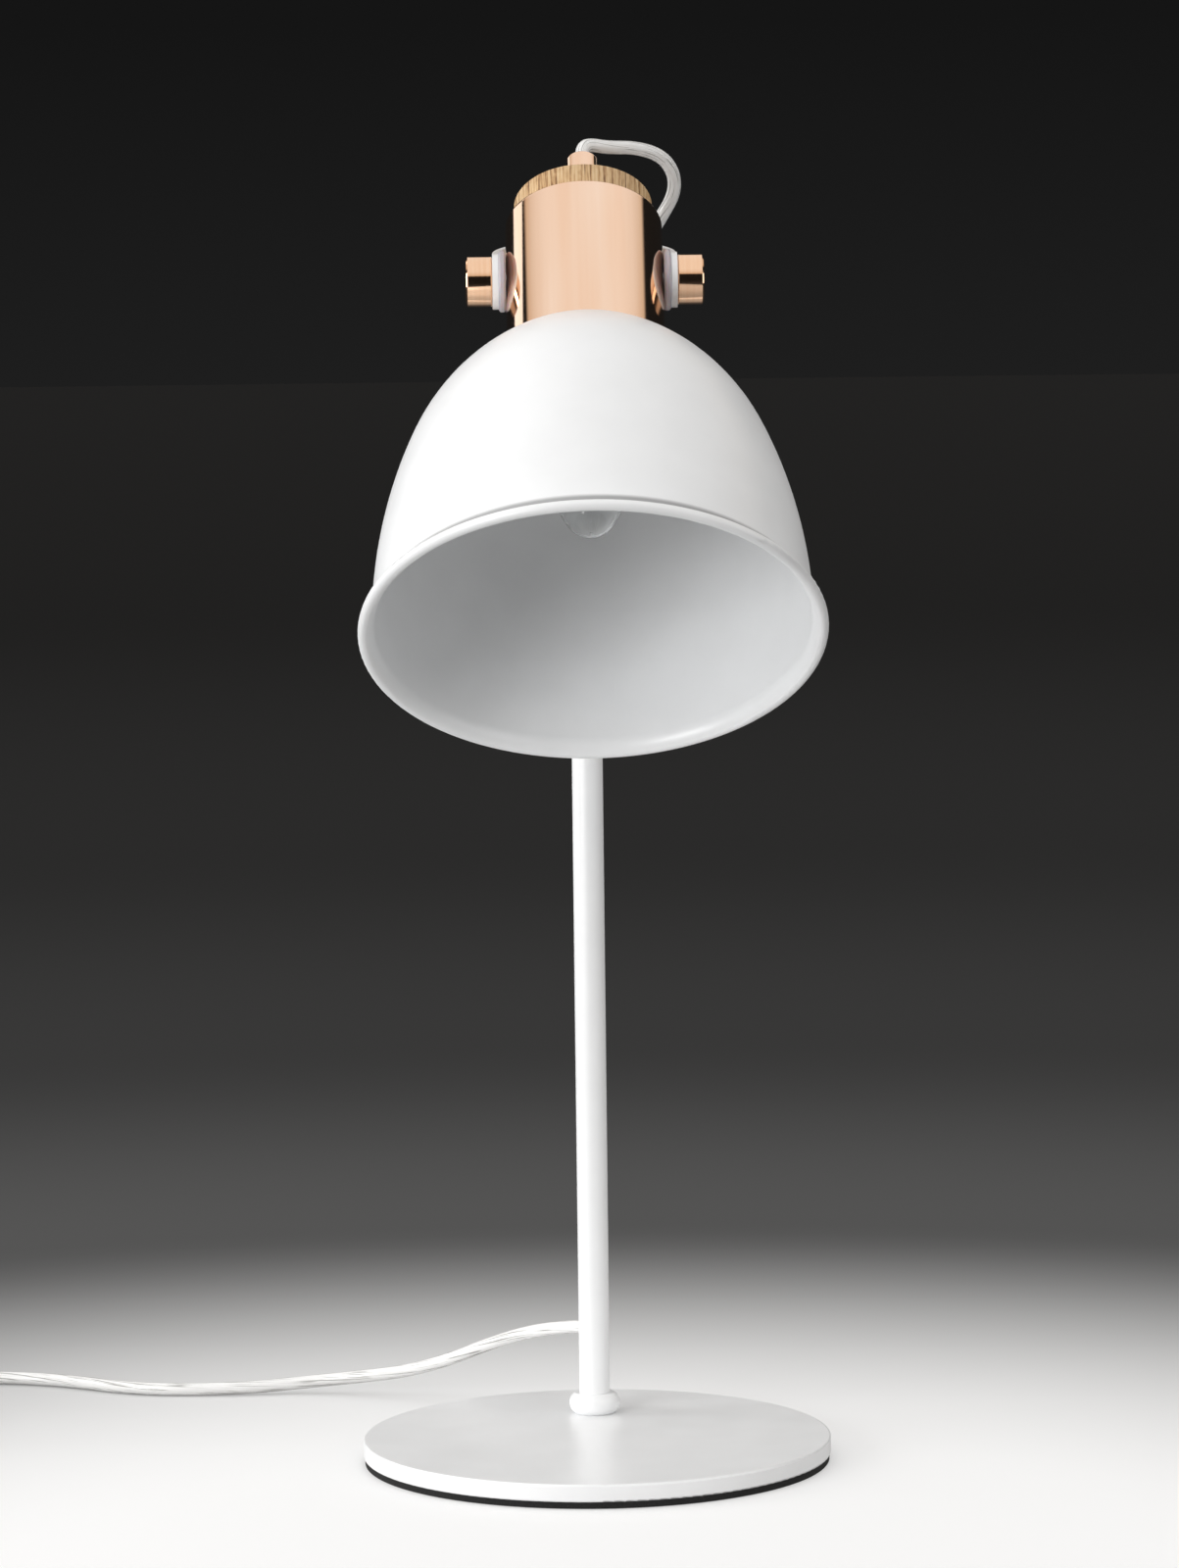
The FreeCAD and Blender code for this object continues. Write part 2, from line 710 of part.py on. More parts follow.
NUT_TOP = "(collar_above - collar_wall - lock_washer_height)"
HOLDER_TOP = f"({NUT_TOP} - lock_nut_height)"
nipple_low = f"{HOLDER_TOP} - nipple_in_holder"
node(on_head(turned("nipple", [
    ("nipple_bore_radius", nipple_low),
    ("nipple_radius", nipple_low),
    ("nipple_radius", f"{WOOD_TOP} + nipple_above_wood"),
    ("nipple_bore_radius", f"{WOOD_TOP} + nipple_above_wood"),
])), "threaded_nipple")
node(on_head(turned("spring_washer", [
    (hole_side, NUT_TOP),
    ("lock_washer_radius", NUT_TOP),
    ("lock_washer_radius", "collar_above - collar_wall"),
    (hole_side, "collar_above - collar_wall"),
])), "lock_washer")
nut_blank = on_head(hexagon("nut_blank", "lock_nut_radius", "lock_nut_height"))
bind(nut_blank, Placement__Base__y=f"-pivot_forward + {HOLDER_TOP} * sin(head_tilt)",
     Placement__Base__z=f"pivot_height + {HOLDER_TOP} * cos(head_tilt)")
nut_way = on_head(cylinder("nut_way", "nipple_radius + press_gap", "2 * collar_above"))
node(cut("nut", nut_blank, nut_way), "lock_nut")

# Lamp holder: a domed cap, a body with a bell mouth, and the live parts between them.

cap_low = f"({HOLDER_TOP} - holder_cap_height)"
node(on_head(turned("cap", [
    ("nipple_radius + press_gap", HOLDER_TOP),
    ("nipple_radius + press_gap", f"{HOLDER_TOP} - holder_boss_height"),
    ("holder_boss_radius", f"{HOLDER_TOP} - holder_boss_height"),
    ("holder_boss_radius", f"{HOLDER_TOP} - holder_wall"),
    ("holder_radius - holder_cap_round", f"{HOLDER_TOP} - holder_wall", "-(holder_cap_round - holder_wall)"),
    ("holder_radius - holder_wall", f"{HOLDER_TOP} - holder_cap_round"),
    ("holder_radius - holder_wall", cap_low),
    ("holder_radius", cap_low),
    ("holder_radius", f"{HOLDER_TOP} - holder_cap_round", "holder_cap_round"),
    ("holder_radius - holder_cap_round", HOLDER_TOP),
])), "holder_cap")

insert_top = f"({cap_low} - insert_top_gap)"
insert_low = f"({insert_top} - insert_height)"
body_low = f"({cap_low} - holder_body_height)"
node(on_head(turned("body", [
    ("holder_radius - holder_wall", cap_low),
    ("holder_radius - holder_wall", insert_low),
    ("holder_throat_radius + press_gap", insert_low),
    ("holder_throat_radius + press_gap", f"{body_low} + holder_bell_height"),
    ("holder_radius - holder_wall", f"{body_low} + holder_bell_height"),
    ("holder_radius - holder_wall", body_low),
    ("holder_radius", body_low),
    ("holder_radius", cap_low),
])), "holder_body")
node(on_head(turned("terminals", [
    ("0", insert_low),
    ("holder_radius - holder_wall - press_gap", insert_low),
    ("holder_radius - holder_wall - press_gap", insert_top),
    ("holder_radius / 2", insert_top),
    ("holder_radius / 2", f"{insert_top} - insert_height / 3"),
    ("0", f"{insert_top} - insert_height / 3"),
])), "holder_insert")
node(on_head(turned("thread_shell", [
    ("shell_radius - shell_wall", f"{insert_low} - press_gap - shell_height"),
    ("shell_radius", f"{insert_low} - press_gap - shell_height"),
    ("shell_radius", f"{insert_low} - press_gap"),
    ("shell_radius - shell_wall", f"{insert_low} - press_gap"),
])), "screw_shell")

contact_low = "(-(bulb_reach - bulb_length) + press_gap)"
node(on_head(turned("contact", [
    ("0", contact_low),
    ("cap_contact_radius", contact_low),
    ("contact_width", f"{insert_low} - contact_height"),
    ("contact_width", insert_low),
    ("0", insert_low),
])), "centre_contact")

ring_top = "(-collar_below - shade_wall)"
ring_blank = turned("ring_blank", [
    ("holder_radius + press_gap", f"{ring_top} - shade_ring_height"),
    ("shade_ring_radius", f"{ring_top} - shade_ring_height"),
    ("shade_ring_radius", f"{ring_top} - shade_ring_flange_height"),
    ("shade_ring_radius + shade_ring_flange", f"{ring_top} - shade_ring_flange_height"),
    ("shade_ring_radius + shade_ring_flange", ring_top),
    ("holder_radius + press_gap", ring_top),
])
flute_sketch = sketch_in(ring_blank, "XY_Plane", "flute_outline")
bind(flute_sketch, AttachmentOffset__Base__z=f"{ring_top} - shade_ring_flange_height")
draw_circle(flute_sketch, "shade_ring_radius + flute_radius / 3", "0", "flute_radius")
doc.recompute()
flute = ring_blank.newObject("PartDesign::Pocket", "flute")
flute.Profile = flute_sketch
flute.Reversed = False
bind(flute, Length="shade_ring_height + overrun")
doc.recompute()
flutes = ring_blank.newObject("PartDesign::PolarPattern", "flutes")
flutes.Originals = [flute]
flutes.Axis = (flute_sketch, ["N_Axis"])
flutes.Angle = 360
flutes.Occurrences = SHADE_RING_FLUTES
ring_blank.Tip = flutes
node(on_head(ring_blank), "shade_ring")

# Shade: spun from one sheet in two blending arcs, flared at the mouth and rolled into a bead.


def dome(inwards):
    """Points and arc radii of one skin of the shade, from its flat seat down to the flare."""
    shoulder = f"(shade_shoulder_arc - {inwards})"
    wall = f"(shade_side_arc - {inwards})"
    flare = f"(shade_flare_arc + {inwards})"
    side_x = "(shade_mouth_radius - shade_side_arc)"
    shoulder_x = f"({side_x} + (shade_side_arc - shade_shoulder_arc) * cos(shade_side_turn))"
    seat_x = f"(collar_radius + shade_seat_lip - {shoulder_x})"
    drop = "((shade_side_arc - shade_shoulder_arc) * sin(shade_side_turn))"
    shoulder_z = f"(-collar_below - sqrt(shade_shoulder_arc^2 - {seat_x}^2))"
    side_z = f"({shoulder_z} - {drop})"
    seat_z = f"(-collar_below - {inwards})"
    flare_x = "(shade_mouth_radius + shade_flare_arc)"
    across = "cos(shade_flare_turn)"
    down = "sin(shade_flare_turn)"
    bead = "(shade_flare_arc + shade_wall - shade_bead_radius)"
    return {
        "seat": (f"{shoulder_x} + sqrt({shoulder}^2 - ({seat_z} - {shoulder_z})^2)", seat_z),
        "join": (f"{side_x} + {wall} * cos(shade_side_turn)", f"{side_z} + {wall} * sin(shade_side_turn)"),
        "wall": (f"shade_mouth_radius - {inwards}", side_z),
        "flare": (f"{flare_x} - {flare} * {across}", f"{side_z} - {flare} * {down}"),
        "arcs": (shoulder, wall, flare),
        "bead": (f"{flare_x} - {bead} * {across}", f"{side_z} - {bead} * {down}"),
    }


skin = dome("0")
lining = dome("shade_wall")
shade_blank = turned("shade_blank", [
    ("holder_radius + turn_gap", "-collar_below"),
    ("holder_radius + turn_gap", ring_top),
    (*lining["seat"], f"-{lining['arcs'][0]}"),
    (*lining["join"], f"-{lining['arcs'][1]}"),
    (*lining["wall"], lining["arcs"][2]),
    lining["flare"],
    (*skin["flare"], f"-{skin['arcs'][2]}"),
    (*skin["wall"], skin["arcs"][1]),
    (*skin["join"], skin["arcs"][0]),
    skin["seat"],
])
added_ring(shade_blank, "bead", *skin["bead"], "shade_bead_radius")
node(on_head(shade_blank), "shade")

# Bulb: a clear candle lamp with a small screw cap, drawn down from its centre contact.

tip = "-bulb_reach"


def glass(inwards):
    """Points and arc radii of one skin of the bulb's glass, from the tip up to the neck."""
    nose = f"(bulb_nose_radius - {inwards})"
    nose_z = "(-bulb_reach + bulb_nose_radius)"
    return [
        ("0", f"{tip} + {inwards}", nose),
        (f"{nose} * cos(30)", f"{nose_z} - {nose} * sin(30)", f"(bulb_side_arc - {inwards})"),
        (f"bulb_radius - {inwards}", f"{tip} + bulb_widest", f"(bulb_shoulder_arc - {inwards})"),
        (f"bulb_waist_radius - {inwards}", f"{tip} + bulb_waist", f"-(bulb_neck_arc + {inwards})"),
        (f"bulb_neck_radius - {inwards}", f"{tip} + bulb_neck"),
        (f"bulb_neck_radius - {inwards}", f"{tip} + bulb_glass_length"),
    ]


def backwards_outline(points):
    """The same outline the other way round, with each arc bent to match."""
    count = len(points)
    turned_round = []
    for i in range(count - 1, -1, -1):
        arc = points[i - 1][2] if i and len(points[i - 1]) == 3 else None
        other = arc[1:] if arc and arc.startswith("-") else f"-{arc}"
        turned_round.append(points[i][:2] + ((other,) if arc else ()))
    return turned_round


node(on_head(turned("envelope", glass("0") + backwards_outline(glass("bulb_glass_wall")))), "bulb_glass")

cap_start = f"({tip} + bulb_length - cap_contact_height - cap_insulator_height)"


def cap_skin(inwards):
    """The cap's side from its mouth up: a plain skirt and then rounded thread ridges."""
    low = f"({cap_start} - cap_length)"
    edge = f"cap_radius - cap_thread_depth - {inwards}"
    points = [(f"cap_radius - {inwards}", low)]
    first = f"({cap_start} - {CAP_RIDGES} * cap_pitch)"
    points.append((f"cap_radius - {inwards}", f"{first} - cap_pitch / 2"))
    for i in range(CAP_RIDGES):
        points.append((edge, f"{first} + {i} * cap_pitch"))
        points.append((f"cap_radius - {inwards}", f"{first} + {i} * cap_pitch + cap_pitch / 2"))
    points.append((edge, cap_start))
    return points


node(on_head(turned("cap_skin", [
    *cap_skin("0"),
    ("cap_contact_radius", cap_start),
    ("cap_contact_radius", f"{cap_start} - cap_wall"),
    *backwards_outline(cap_skin("cap_wall"))[1:],
])), "bulb_cap")
node(on_head(turned("insulator", [
    ("0", cap_start),
    ("cap_radius - 2 * cap_thread_depth", cap_start),
    ("cap_contact_radius + cap_wall", f"{cap_start} + cap_insulator_height"),
    ("0", f"{cap_start} + cap_insulator_height"),
])), "bulb_insulator")
node(on_head(turned("tip_contact", [
    ("0", f"{cap_start} + cap_insulator_height"),
    ("cap_contact_radius", f"{cap_start} + cap_insulator_height"),
    ("cap_contact_radius / 2", f"{cap_start} + cap_insulator_height + cap_contact_height"),
    ("0", f"{cap_start} + cap_insulator_height + cap_contact_height"),
])), "bulb_contact")

mount_top = f"({tip} + bulb_glass_length)"
node(on_head(turned("glass_stem", [
    ("0", f"{mount_top} - mount_height"),
    ("mount_tip_radius", f"{mount_top} - mount_height"),
    ("mount_radius", f"{mount_top} - mount_height / 3"),
    ("mount_radius", f"{mount_top} - mount_flare_height"),
    ("bulb_neck_radius - bulb_glass_wall - press_gap", mount_top),
    ("0", mount_top),
])), "bulb_mount")


def wire(points, radius):
    """A thin wire with round joints along straight runs."""
    solid = None
    for i, point in enumerate(points):
        joint = Part.makeSphere(radius, point)
        solid = joint if solid is None else solid.fuse(joint)
        if i:
            run = point - points[i - 1]
            solid = solid.fuse(Part.makeCylinder(radius, run.Length, points[i - 1], run))
    return solid.removeSplitter()


low = mm(f"{mount_top} - mount_height")
spread = mm("filament_spread")
fall = mm("filament_height")
thin = mm("filament_wire_radius")
FILAMENT_SHARES = [
    (-0.25, -0.02), (-1.0, 0.3), (-0.9, 1.0), (-0.3, 0.85),
    (0.3, 1.0), (0.9, 0.85), (1.0, 0.3), (0.25, -0.02),
]
filament = doc.addObject("Part::Feature", "filament")
filament.Shape = wire([Vector(a * spread, 0, low - b * fall - thin) for a, b in FILAMENT_SHARES], thin)
node(on_head(filament), "bulb_filament")

# Pivot: on each side a stud runs from the knob through ear, washer and collar into a nut inside the collar.

washer_face = "(collar_radius + face_gap)"
knob_face = f"({half_width} + face_gap)"
nut_end = "(collar_radius - collar_wall - pivot_nut_length)"
collar_core = on_head(
    cylinder("collar_core", "collar_radius - collar_wall - press_gap", "4 * pivot_nut_radius"))
bind(collar_core, Placement__Base__y="-pivot_forward - 2 * pivot_nut_radius * sin(head_tilt)",
     Placement__Base__z="pivot_height - 2 * pivot_nut_radius * cos(head_tilt)")

for side_name, side in (("right", 1), ("left", -1)):
    blank = on_pivot(turned(side_name + "_nut_blank", [
        ("stud_radius + press_gap", nut_end),
        ("pivot_nut_radius", nut_end),
        ("pivot_nut_radius", "collar_radius"),
        ("stud_radius + press_gap", "collar_radius"),
    ]), side)
    node(common(side_name + "_nut", blank, collar_core), side_name + "_pivot_nut")
    node(on_pivot(turned(side_name + "_friction_washer", [
        ("stud_radius + turn_gap", washer_face),
        ("washer_radius - washer_chamfer", washer_face),
        ("washer_radius", f"{washer_face} + washer_chamfer"),
        ("washer_radius", f"{washer_face} + washer_thickness - washer_chamfer"),
        ("washer_radius - washer_chamfer", f"{washer_face} + washer_thickness"),
        ("stud_radius + turn_gap", f"{washer_face} + washer_thickness"),
    ]), side), side_name + "_washer")
    node(on_pivot(turned(side_name + "_stud_rod", [
        ("0", nut_end),
        ("stud_radius", nut_end),
        ("stud_radius", f"{knob_face} + stud_in_knob"),
        ("0", f"{knob_face} + stud_in_knob"),
    ]), side), side_name + "_stud")
    edge = "(knob_radius - knob_chamfer)"
    dome_arc = f"({edge}^2 + knob_dome^2) / (2 * knob_dome)"
    knob_end = f"({knob_face} + knob_length)"
    node(on_pivot(turned(side_name + "_knob_blank", [
        ("stud_radius + press_gap", knob_face),
        ("knob_radius - knob_chamfer", knob_face),
        ("knob_radius", f"{knob_face} + knob_chamfer"),
        ("knob_radius", f"{knob_end} - knob_dome - knob_chamfer"),
        (edge, f"{knob_end} - knob_dome", dome_arc),
        ("0", knob_end),
        ("0", f"{knob_face} + stud_in_knob + press_gap"),
        ("stud_radius + press_gap", f"{knob_face} + stud_in_knob + press_gap"),
    ]), side), side_name + "_knob")

# Cord: clear round flex. Its free stretches follow corner points chosen by hand.


def rounded_path(points):
    """Straight runs with each corner rounded as widely as its two runs allow, and the bend radii."""
    spots = [Vector(*p) for p in points]
    edges = []
    radii = []
    at = spots[0]
    for before, corner, after in zip(spots, spots[1:], spots[2:]):
        come = (corner - before).normalize()
        go = (after - corner).normalize()
        half_turn = come.getAngle(go) / 2
        reach = 0.45 * min((corner - before).Length, (after - corner).Length)
        bend = reach / math.tan(half_turn)
        middle = corner + (go - come).normalize() * (bend / math.cos(half_turn) - bend)
        edges.append(Part.LineSegment(at, corner - come * reach).toShape())
        edges.append(Part.Arc(corner - come * reach, middle, corner + go * reach).toShape())
        at = corner + go * reach
        radii.append(round(bend, 1))
    edges.append(Part.LineSegment(at, spots[-1]).toShape())
    return Part.Wire(edges), radii


def tube(path, start, heading, label, note=""):
    """Run a round cord along a path and hand it over as one solid."""
    ring = Part.Wire(Part.Circle(start, heading, flex).toShape())
    solid = path.makePipeShell([ring], True, False)
    share = solid.Volume / (math.pi * flex**2 * path.Length)
    print(f"{label}: {path.Length:.1f} mm, volume share {share:.4f} {note}")
    piece = doc.addObject("Part::Feature", label + "_flex")
    piece.Shape = solid
    return piece


def flex_along(points, label):
    """A stretch of cord through corner points, as a node of its own."""
    path, radii = rounded_path(points)
    heading = Vector(*points[1]) - Vector(*points[0])
    return node(tube(path, Vector(*points[0]), heading, label, f"bend radii {radii}"), label)


flex = mm("cord_radius")
rest = mm("cord_rest_height")
lean = math.radians(mm("head_tilt"))
mouth_reach = mm(GLAND_TOP)
pivot_z = mm("pivot_height")
gland_heading = Vector(0, math.sin(lean), math.cos(lean))
gland_mouth = Vector(0, -mm("pivot_forward"), pivot_z) + gland_heading * mouth_reach
back_of_stem = mm("stem_setback + stem_radius")
slope = math.radians(mm("upper_hole_slope"))
reach = mm("upper_grommet_reach")
upper_mouth = Vector(0, back_of_stem + reach * math.cos(slope), mm(UPPER_HOLE[0]) + reach * math.sin(slope))
lower_mouth = Vector(0, back_of_stem + mm("lower_grommet_reach"), mm(LOWER_HOLE[0]))

# In the head the cord is straight, from the gland's mouth through the nipple into the holder's cap.
head_cord_low = f"({nipple_low} - cord_radius)"
head_cord = on_head(cylinder("head_flex", "cord_radius", f"{GLAND_TOP} - {head_cord_low}"))
bind(head_cord, Placement__Base__y=f"-pivot_forward + {head_cord_low} * sin(head_tilt)",
     Placement__Base__z=f"pivot_height + {head_cord_low} * cos(head_tilt)")
node(head_cord, "cord_in_head")

# The slack loop: corners as shares of loop_reach, first from the gland's mouth and then from the upper hole.
loop = mm("loop_reach")
GLAND_EXIT_SHARE = 0.116
GLAND_SHARES = [
    (0.063, 0.152, 0.15), (0.268, 0.285, 0.118), (0.56, 0.468, 0.122),
    (0.818, 0.64, 0.044), (0.95, 0.775, -0.132), (0.952, 0.897, -0.34),
]
STEM_SHARES = [
    (0.826, -0.084, 1.385), (0.677, 0.048, 1.14), (0.53, 0.153, 0.863), (0.33, 0.277, 0.625),
    (0.117, 0.316, 0.405), (0.0, 0.195, 0.195),
]
flex_along(
    [gland_mouth, gland_mouth + gland_heading * loop * GLAND_EXIT_SHARE]
    + [gland_mouth + Vector(*share) * loop for share in GLAND_SHARES]
    + [upper_mouth + Vector(*share) * loop for share in STEM_SHARES]
    + [upper_mouth],
    "cord_loop",
)

# In the stem it hangs against the front of the bore between the two grommets.
hang = mm("stem_setback - (stem_radius - stem_wall) + cord_radius + cord_fit * 2")
flex_along([
    upper_mouth,
    Vector(0, hang, upper_mouth.z - (upper_mouth.y - hang) * math.tan(slope)),
    Vector(0, hang, lower_mouth.z),
    lower_mouth,
], "cord_in_stem")

# The lead: shares of the way left, of the way back and of the drop between the lower hole and the switch.
LEAD_SHARES = [
    (0.0, 0.084, 1.0), (0.018, 0.161, 0.95), (0.053, 0.228, 0.903), (0.098, 0.309, 0.81),
    (0.152, 0.421, 0.625), (0.212, 0.533, 0.388), (0.279, 0.641, 0.207), (0.351, 0.717, 0.112),
    (0.431, 0.753, 0.04), (0.522, 0.722, 0.0), (0.667, 0.731, 0.0), (0.783, 0.924, 0.0),
    (0.87, 1.0, 0.0), (0.931, 1.004, 0.0), (0.976, 1.0, 0.1165),
]
near_end = mm("switch_near_end")
far_end = near_end + mm("switch_length")
switch_y = mm("switch_middle_back")
entry_z = mm("switch_base_height")
into = mm("switch_wall + cord_in_switch")
back_way = switch_y - lower_mouth.y
drop = lower_mouth.z - rest
flex_along(
    [lower_mouth]
    + [Vector(-a * near_end, lower_mouth.y + b * back_way, rest + c * drop) for a, b, c in LEAD_SHARES]
    + [Vector(-near_end - into, switch_y, entry_z)],
    "cord_lead",
)

# The spare cord: one unbroken coil that spirals in on the lower layer and out again on the upper one.
turn_out = mm("link_run")
step_x = turn_out * (math.cos(math.radians(30)) + math.cos(math.radians(60)))
coil_left = -(far_end + mm("link_start") + step_x)
pitch = mm("coil_pitch")
inner = mm("coil_inner_radius")
outer = inner + COIL_TURNS_IN * pitch
coil_x = coil_left + outer
coil_y = mm("coil_middle_back")
low_layer = rest + mm("tie_thickness + tie_gap")


def coil_point(turns):
    """Place and heading on the coil, a number of turns after it starts at its left."""
    gone = turns - COIL_TURNS_IN
    radius = inner + abs(gone) * pitch
    angle = math.pi + turns * 2 * math.pi
    widening = math.copysign(pitch / (2 * math.pi), gone) if gone else 0.0
    climb = min(max(gone * 2 + 0.5, 0.0), 1.0)
    height = low_layer + pitch * (3 * climb**2 - 2 * climb**3)
    rising = pitch * (6 * climb - 6 * climb**2) / math.pi
    place_at = Vector(coil_x + radius * math.cos(angle), coil_y + radius * math.sin(angle), height)
    heading = Vector(
        widening * math.cos(angle) - radius * math.sin(angle),
        widening * math.sin(angle) + radius * math.cos(angle),
        rising,
    ).normalize()
    return place_at, heading


def biarc(start, start_heading, end, end_heading):
    """Two arcs that meet smoothly and lead from one place and heading to the next."""
    chord = end - start
    both = start_heading + end_heading
    spread = 2 * (1 - start_heading.dot(end_heading))
    reach = (math.sqrt(chord.dot(both) ** 2 + spread * chord.dot(chord)) - chord.dot(both)) / spread
    corners = (start + start_heading * reach, end - end_heading * reach)
    joint = (corners[0] + corners[1]) * 0.5
    arcs = []
    for first, corner, last in ((start, corners[0], joint), (joint, corners[1], end)):
        come = (corner - first).normalize()
        go = (last - corner).normalize()
        half_turn = come.getAngle(go) / 2
        bend = reach / math.tan(half_turn)
        middle = corner + (go - come).normalize() * (bend / math.cos(half_turn) - bend)
        arcs.append(Part.Arc(first, middle, last).toShape())
    return arcs


stations = [coil_point(k / 4) for k in range(int(4 * (COIL_TURNS_IN + COIL_TURNS_OUT)) + 1)]
coil_start, start_heading = stations[0]
coil_end, end_heading = stations[-1]
straight = 2 * flex
edges = [Part.LineSegment(coil_start - start_heading * straight, coil_start).toShape()]
for (a, going), (b, coming) in zip(stations, stations[1:]):
    edges += biarc(a, going, b, coming)
edges.append(Part.LineSegment(coil_end, coil_end + end_heading * straight).toShape())
coil_path = Part.Wire(edges)
link_end = coil_start - start_heading * straight
tail_start = coil_end + end_heading * straight
node(tube(coil_path, link_end, start_heading, "cord_coil"), "cord_coil")

samples = coil_path.discretize(Distance=2.5)
step_gap = coil_path.Length / (len(samples) - 1)
apart = int(40 / step_gap)
nearest = min(
    (samples[i] - samples[j]).Length for i in range(len(samples)) for j in range(i + apart, len(samples))
)
print(f"cord_coil: least gap to itself {nearest - 2 * flex:.2f} mm")

# The link turns a quarter round from the switch's far end to the coil's left side.
half_step = turn_out * 0.5
long_step = turn_out * math.cos(math.radians(30))
link_x = link_end.x
link_leg = switch_y - half_step - long_step - link_end.y
flex_along([
    Vector(-far_end + into, switch_y, entry_z),
    Vector(link_x + step_x, switch_y, entry_z),
    Vector(link_x + half_step, switch_y - half_step, (entry_z + low_layer) / 2),
    link_end - start_heading * link_leg,
    link_end,
], "cord_link")

# The tail turns a quarter round from the coil's end to the plug in front of the coil.
plug_y = mm("plug_back")
plug_z = mm("plug_axis_height")
tail_x = tail_start.x
relief_tip = tail_x + step_x + mm("link_start")
tail_leg = tail_start.y - plug_y - half_step - long_step
flex_along([
    tail_start,
    tail_start + end_heading * tail_leg,
    Vector(tail_x + half_step, plug_y + half_step, (tail_start.z + plug_z) / 2),
    Vector(tail_x + step_x, plug_y, plug_z),
    Vector(relief_tip + mm("relief_grip"), plug_y, plug_z),
], "cord_tail")

# A cloth tie holds the coil's rings together at its right side.
gap = mm("tie_gap")
band_size = mm("tie_thickness")
inner_edge = inner - flex - gap - mm("tie_width") ** 2 / (8 * inner)
outer_edge = outer - pitch / 2 + flex + gap
tie_low = low_layer - flex - gap
tie_tall = 2 * flex + pitch + 2 * gap


def rounded_block(low, size, radius, along):
    """A block with its four edges along one direction rounded."""
    block = Part.makeBox(size.x, size.y, size.z, low)
    chosen = [e for e in block.Edges if abs(e.tangentAt(e.FirstParameter).dot(along)) > 0.99]
    return block.makeFillet(radius, chosen)


hollow = Vector(outer_edge - inner_edge, mm("tie_width"), tie_tall)
around = Vector(band_size, 0, band_size)
tie_corner = Vector(coil_x + inner_edge, coil_y - hollow.y / 2, tie_low)
tie = doc.addObject("Part::Feature", "tie")
tie.Shape = rounded_block(tie_corner - around, hollow + around * 2, 2 * band_size, Vector(0, 1, 0)).cut(
    rounded_block(tie_corner, hollow, band_size, Vector(0, 1, 0))
)
node(tie, "coil_tie")

# Switch: a two-part shell on the cord, with a rocker on two pins that hangs in the cover.

SWITCH_MIDDLE = "-(switch_near_end + switch_length / 2)"
bulge_arc = "((switch_length / 2)^2 + switch_bulge^2) / (2 * switch_bulge)"


def on_switch(thing, z="0", x=SWITCH_MIDDLE, y="switch_middle_back"):
    place(thing, x, y, z)
    return thing


def shell_plan(inwards):
    """The switch's outline from above: square ends and two bulging sides."""
    end = f"(switch_length / 2 - {inwards})"
    half = f"(switch_end_width / 2 - {inwards})"
    arc = f"{bulge_arc} - {inwards}"
    return [(f"-{end}", f"-{half}", arc), (end, f"-{half}"), (end, half, arc), (f"-{end}", half)]


def padded(name, points, height, rounding_size="", faces=()):
    """An outline pushed upwards, with the edges round its "top" or "bottom" face rounded."""
    body = new_body(name + "_body")
    sketch = sketch_in(body, "XY_Plane", name + "_plan")
    draw_outline(sketch, points)
    doc.recompute()
    pad = body.newObject("PartDesign::Pad", name + "_pad")
    pad.Profile = sketch
    bind(pad, Length=height)
    doc.recompute()
    if rounding_size:
        levels = [mm(height) if face == "top" else 0.0 for face in faces]
        flat = [
            f"Face{i}" for i, face in enumerate(pad.Shape.Faces, 1)
            if face.BoundBox.ZLength < 1e-6 and min(abs(face.BoundBox.ZMin - z) for z in levels) < 1e-6
        ]
        rounding = body.newObject("PartDesign::Fillet", name + "_round")
        rounding.Base = (pad, flat)
        bind(rounding, Radius=rounding_size)
        doc.recompute()
    return body


def cord_way(name):
    """The hole for the cord right through the switch, half in each shell."""
    bar = cylinder(name, "cord_radius + cord_fit", "switch_length + 2 * overrun")
    place(bar, f"{SWITCH_MIDDLE} - switch_length / 2 - overrun", "switch_middle_back", "switch_base_height",
          (0, 1, 0), "90")
    return bar


def at_screws(name, radius, height, z):
    """The same round piece at both screws of the switch."""
    return [
        on_switch(cylinder(f"{name}_{i}", radius, height), z,
                  f"{SWITCH_MIDDLE} + {side} * (switch_length / 2 - switch_screw_inset)",
                  f"switch_middle_back + {side} * switch_screw_aside")
        for i, side in ((1, 1), (2, -1))
    ]


flex_way = cord_way("switch_cord_way")
under = on_switch(padded("under", shell_plan("0"), "switch_base_height", "switch_round", ["bottom"]))
under_room = on_switch(padded("under_room", shell_plan("switch_wall"), "switch_base_height"), "switch_wall")
under_posts = at_screws("under_post", "switch_post_radius", "switch_base_height - switch_wall / 2",
                        "switch_wall / 2")
under_sinks = at_screws("under_sink", "switch_screw_head_radius + turn_gap",
                        "switch_screw_head_height + overrun", "-overrun")
under_ways = at_screws("under_way", "switch_screw_radius + turn_gap", "switch_base_height + overrun", "0")
under_shell = fuse("under_shell", cut("under_tray", under, under_room), *under_posts)
node(cut("switch_under", under_shell, *under_sinks, *under_ways, flex_way), "switch_base")

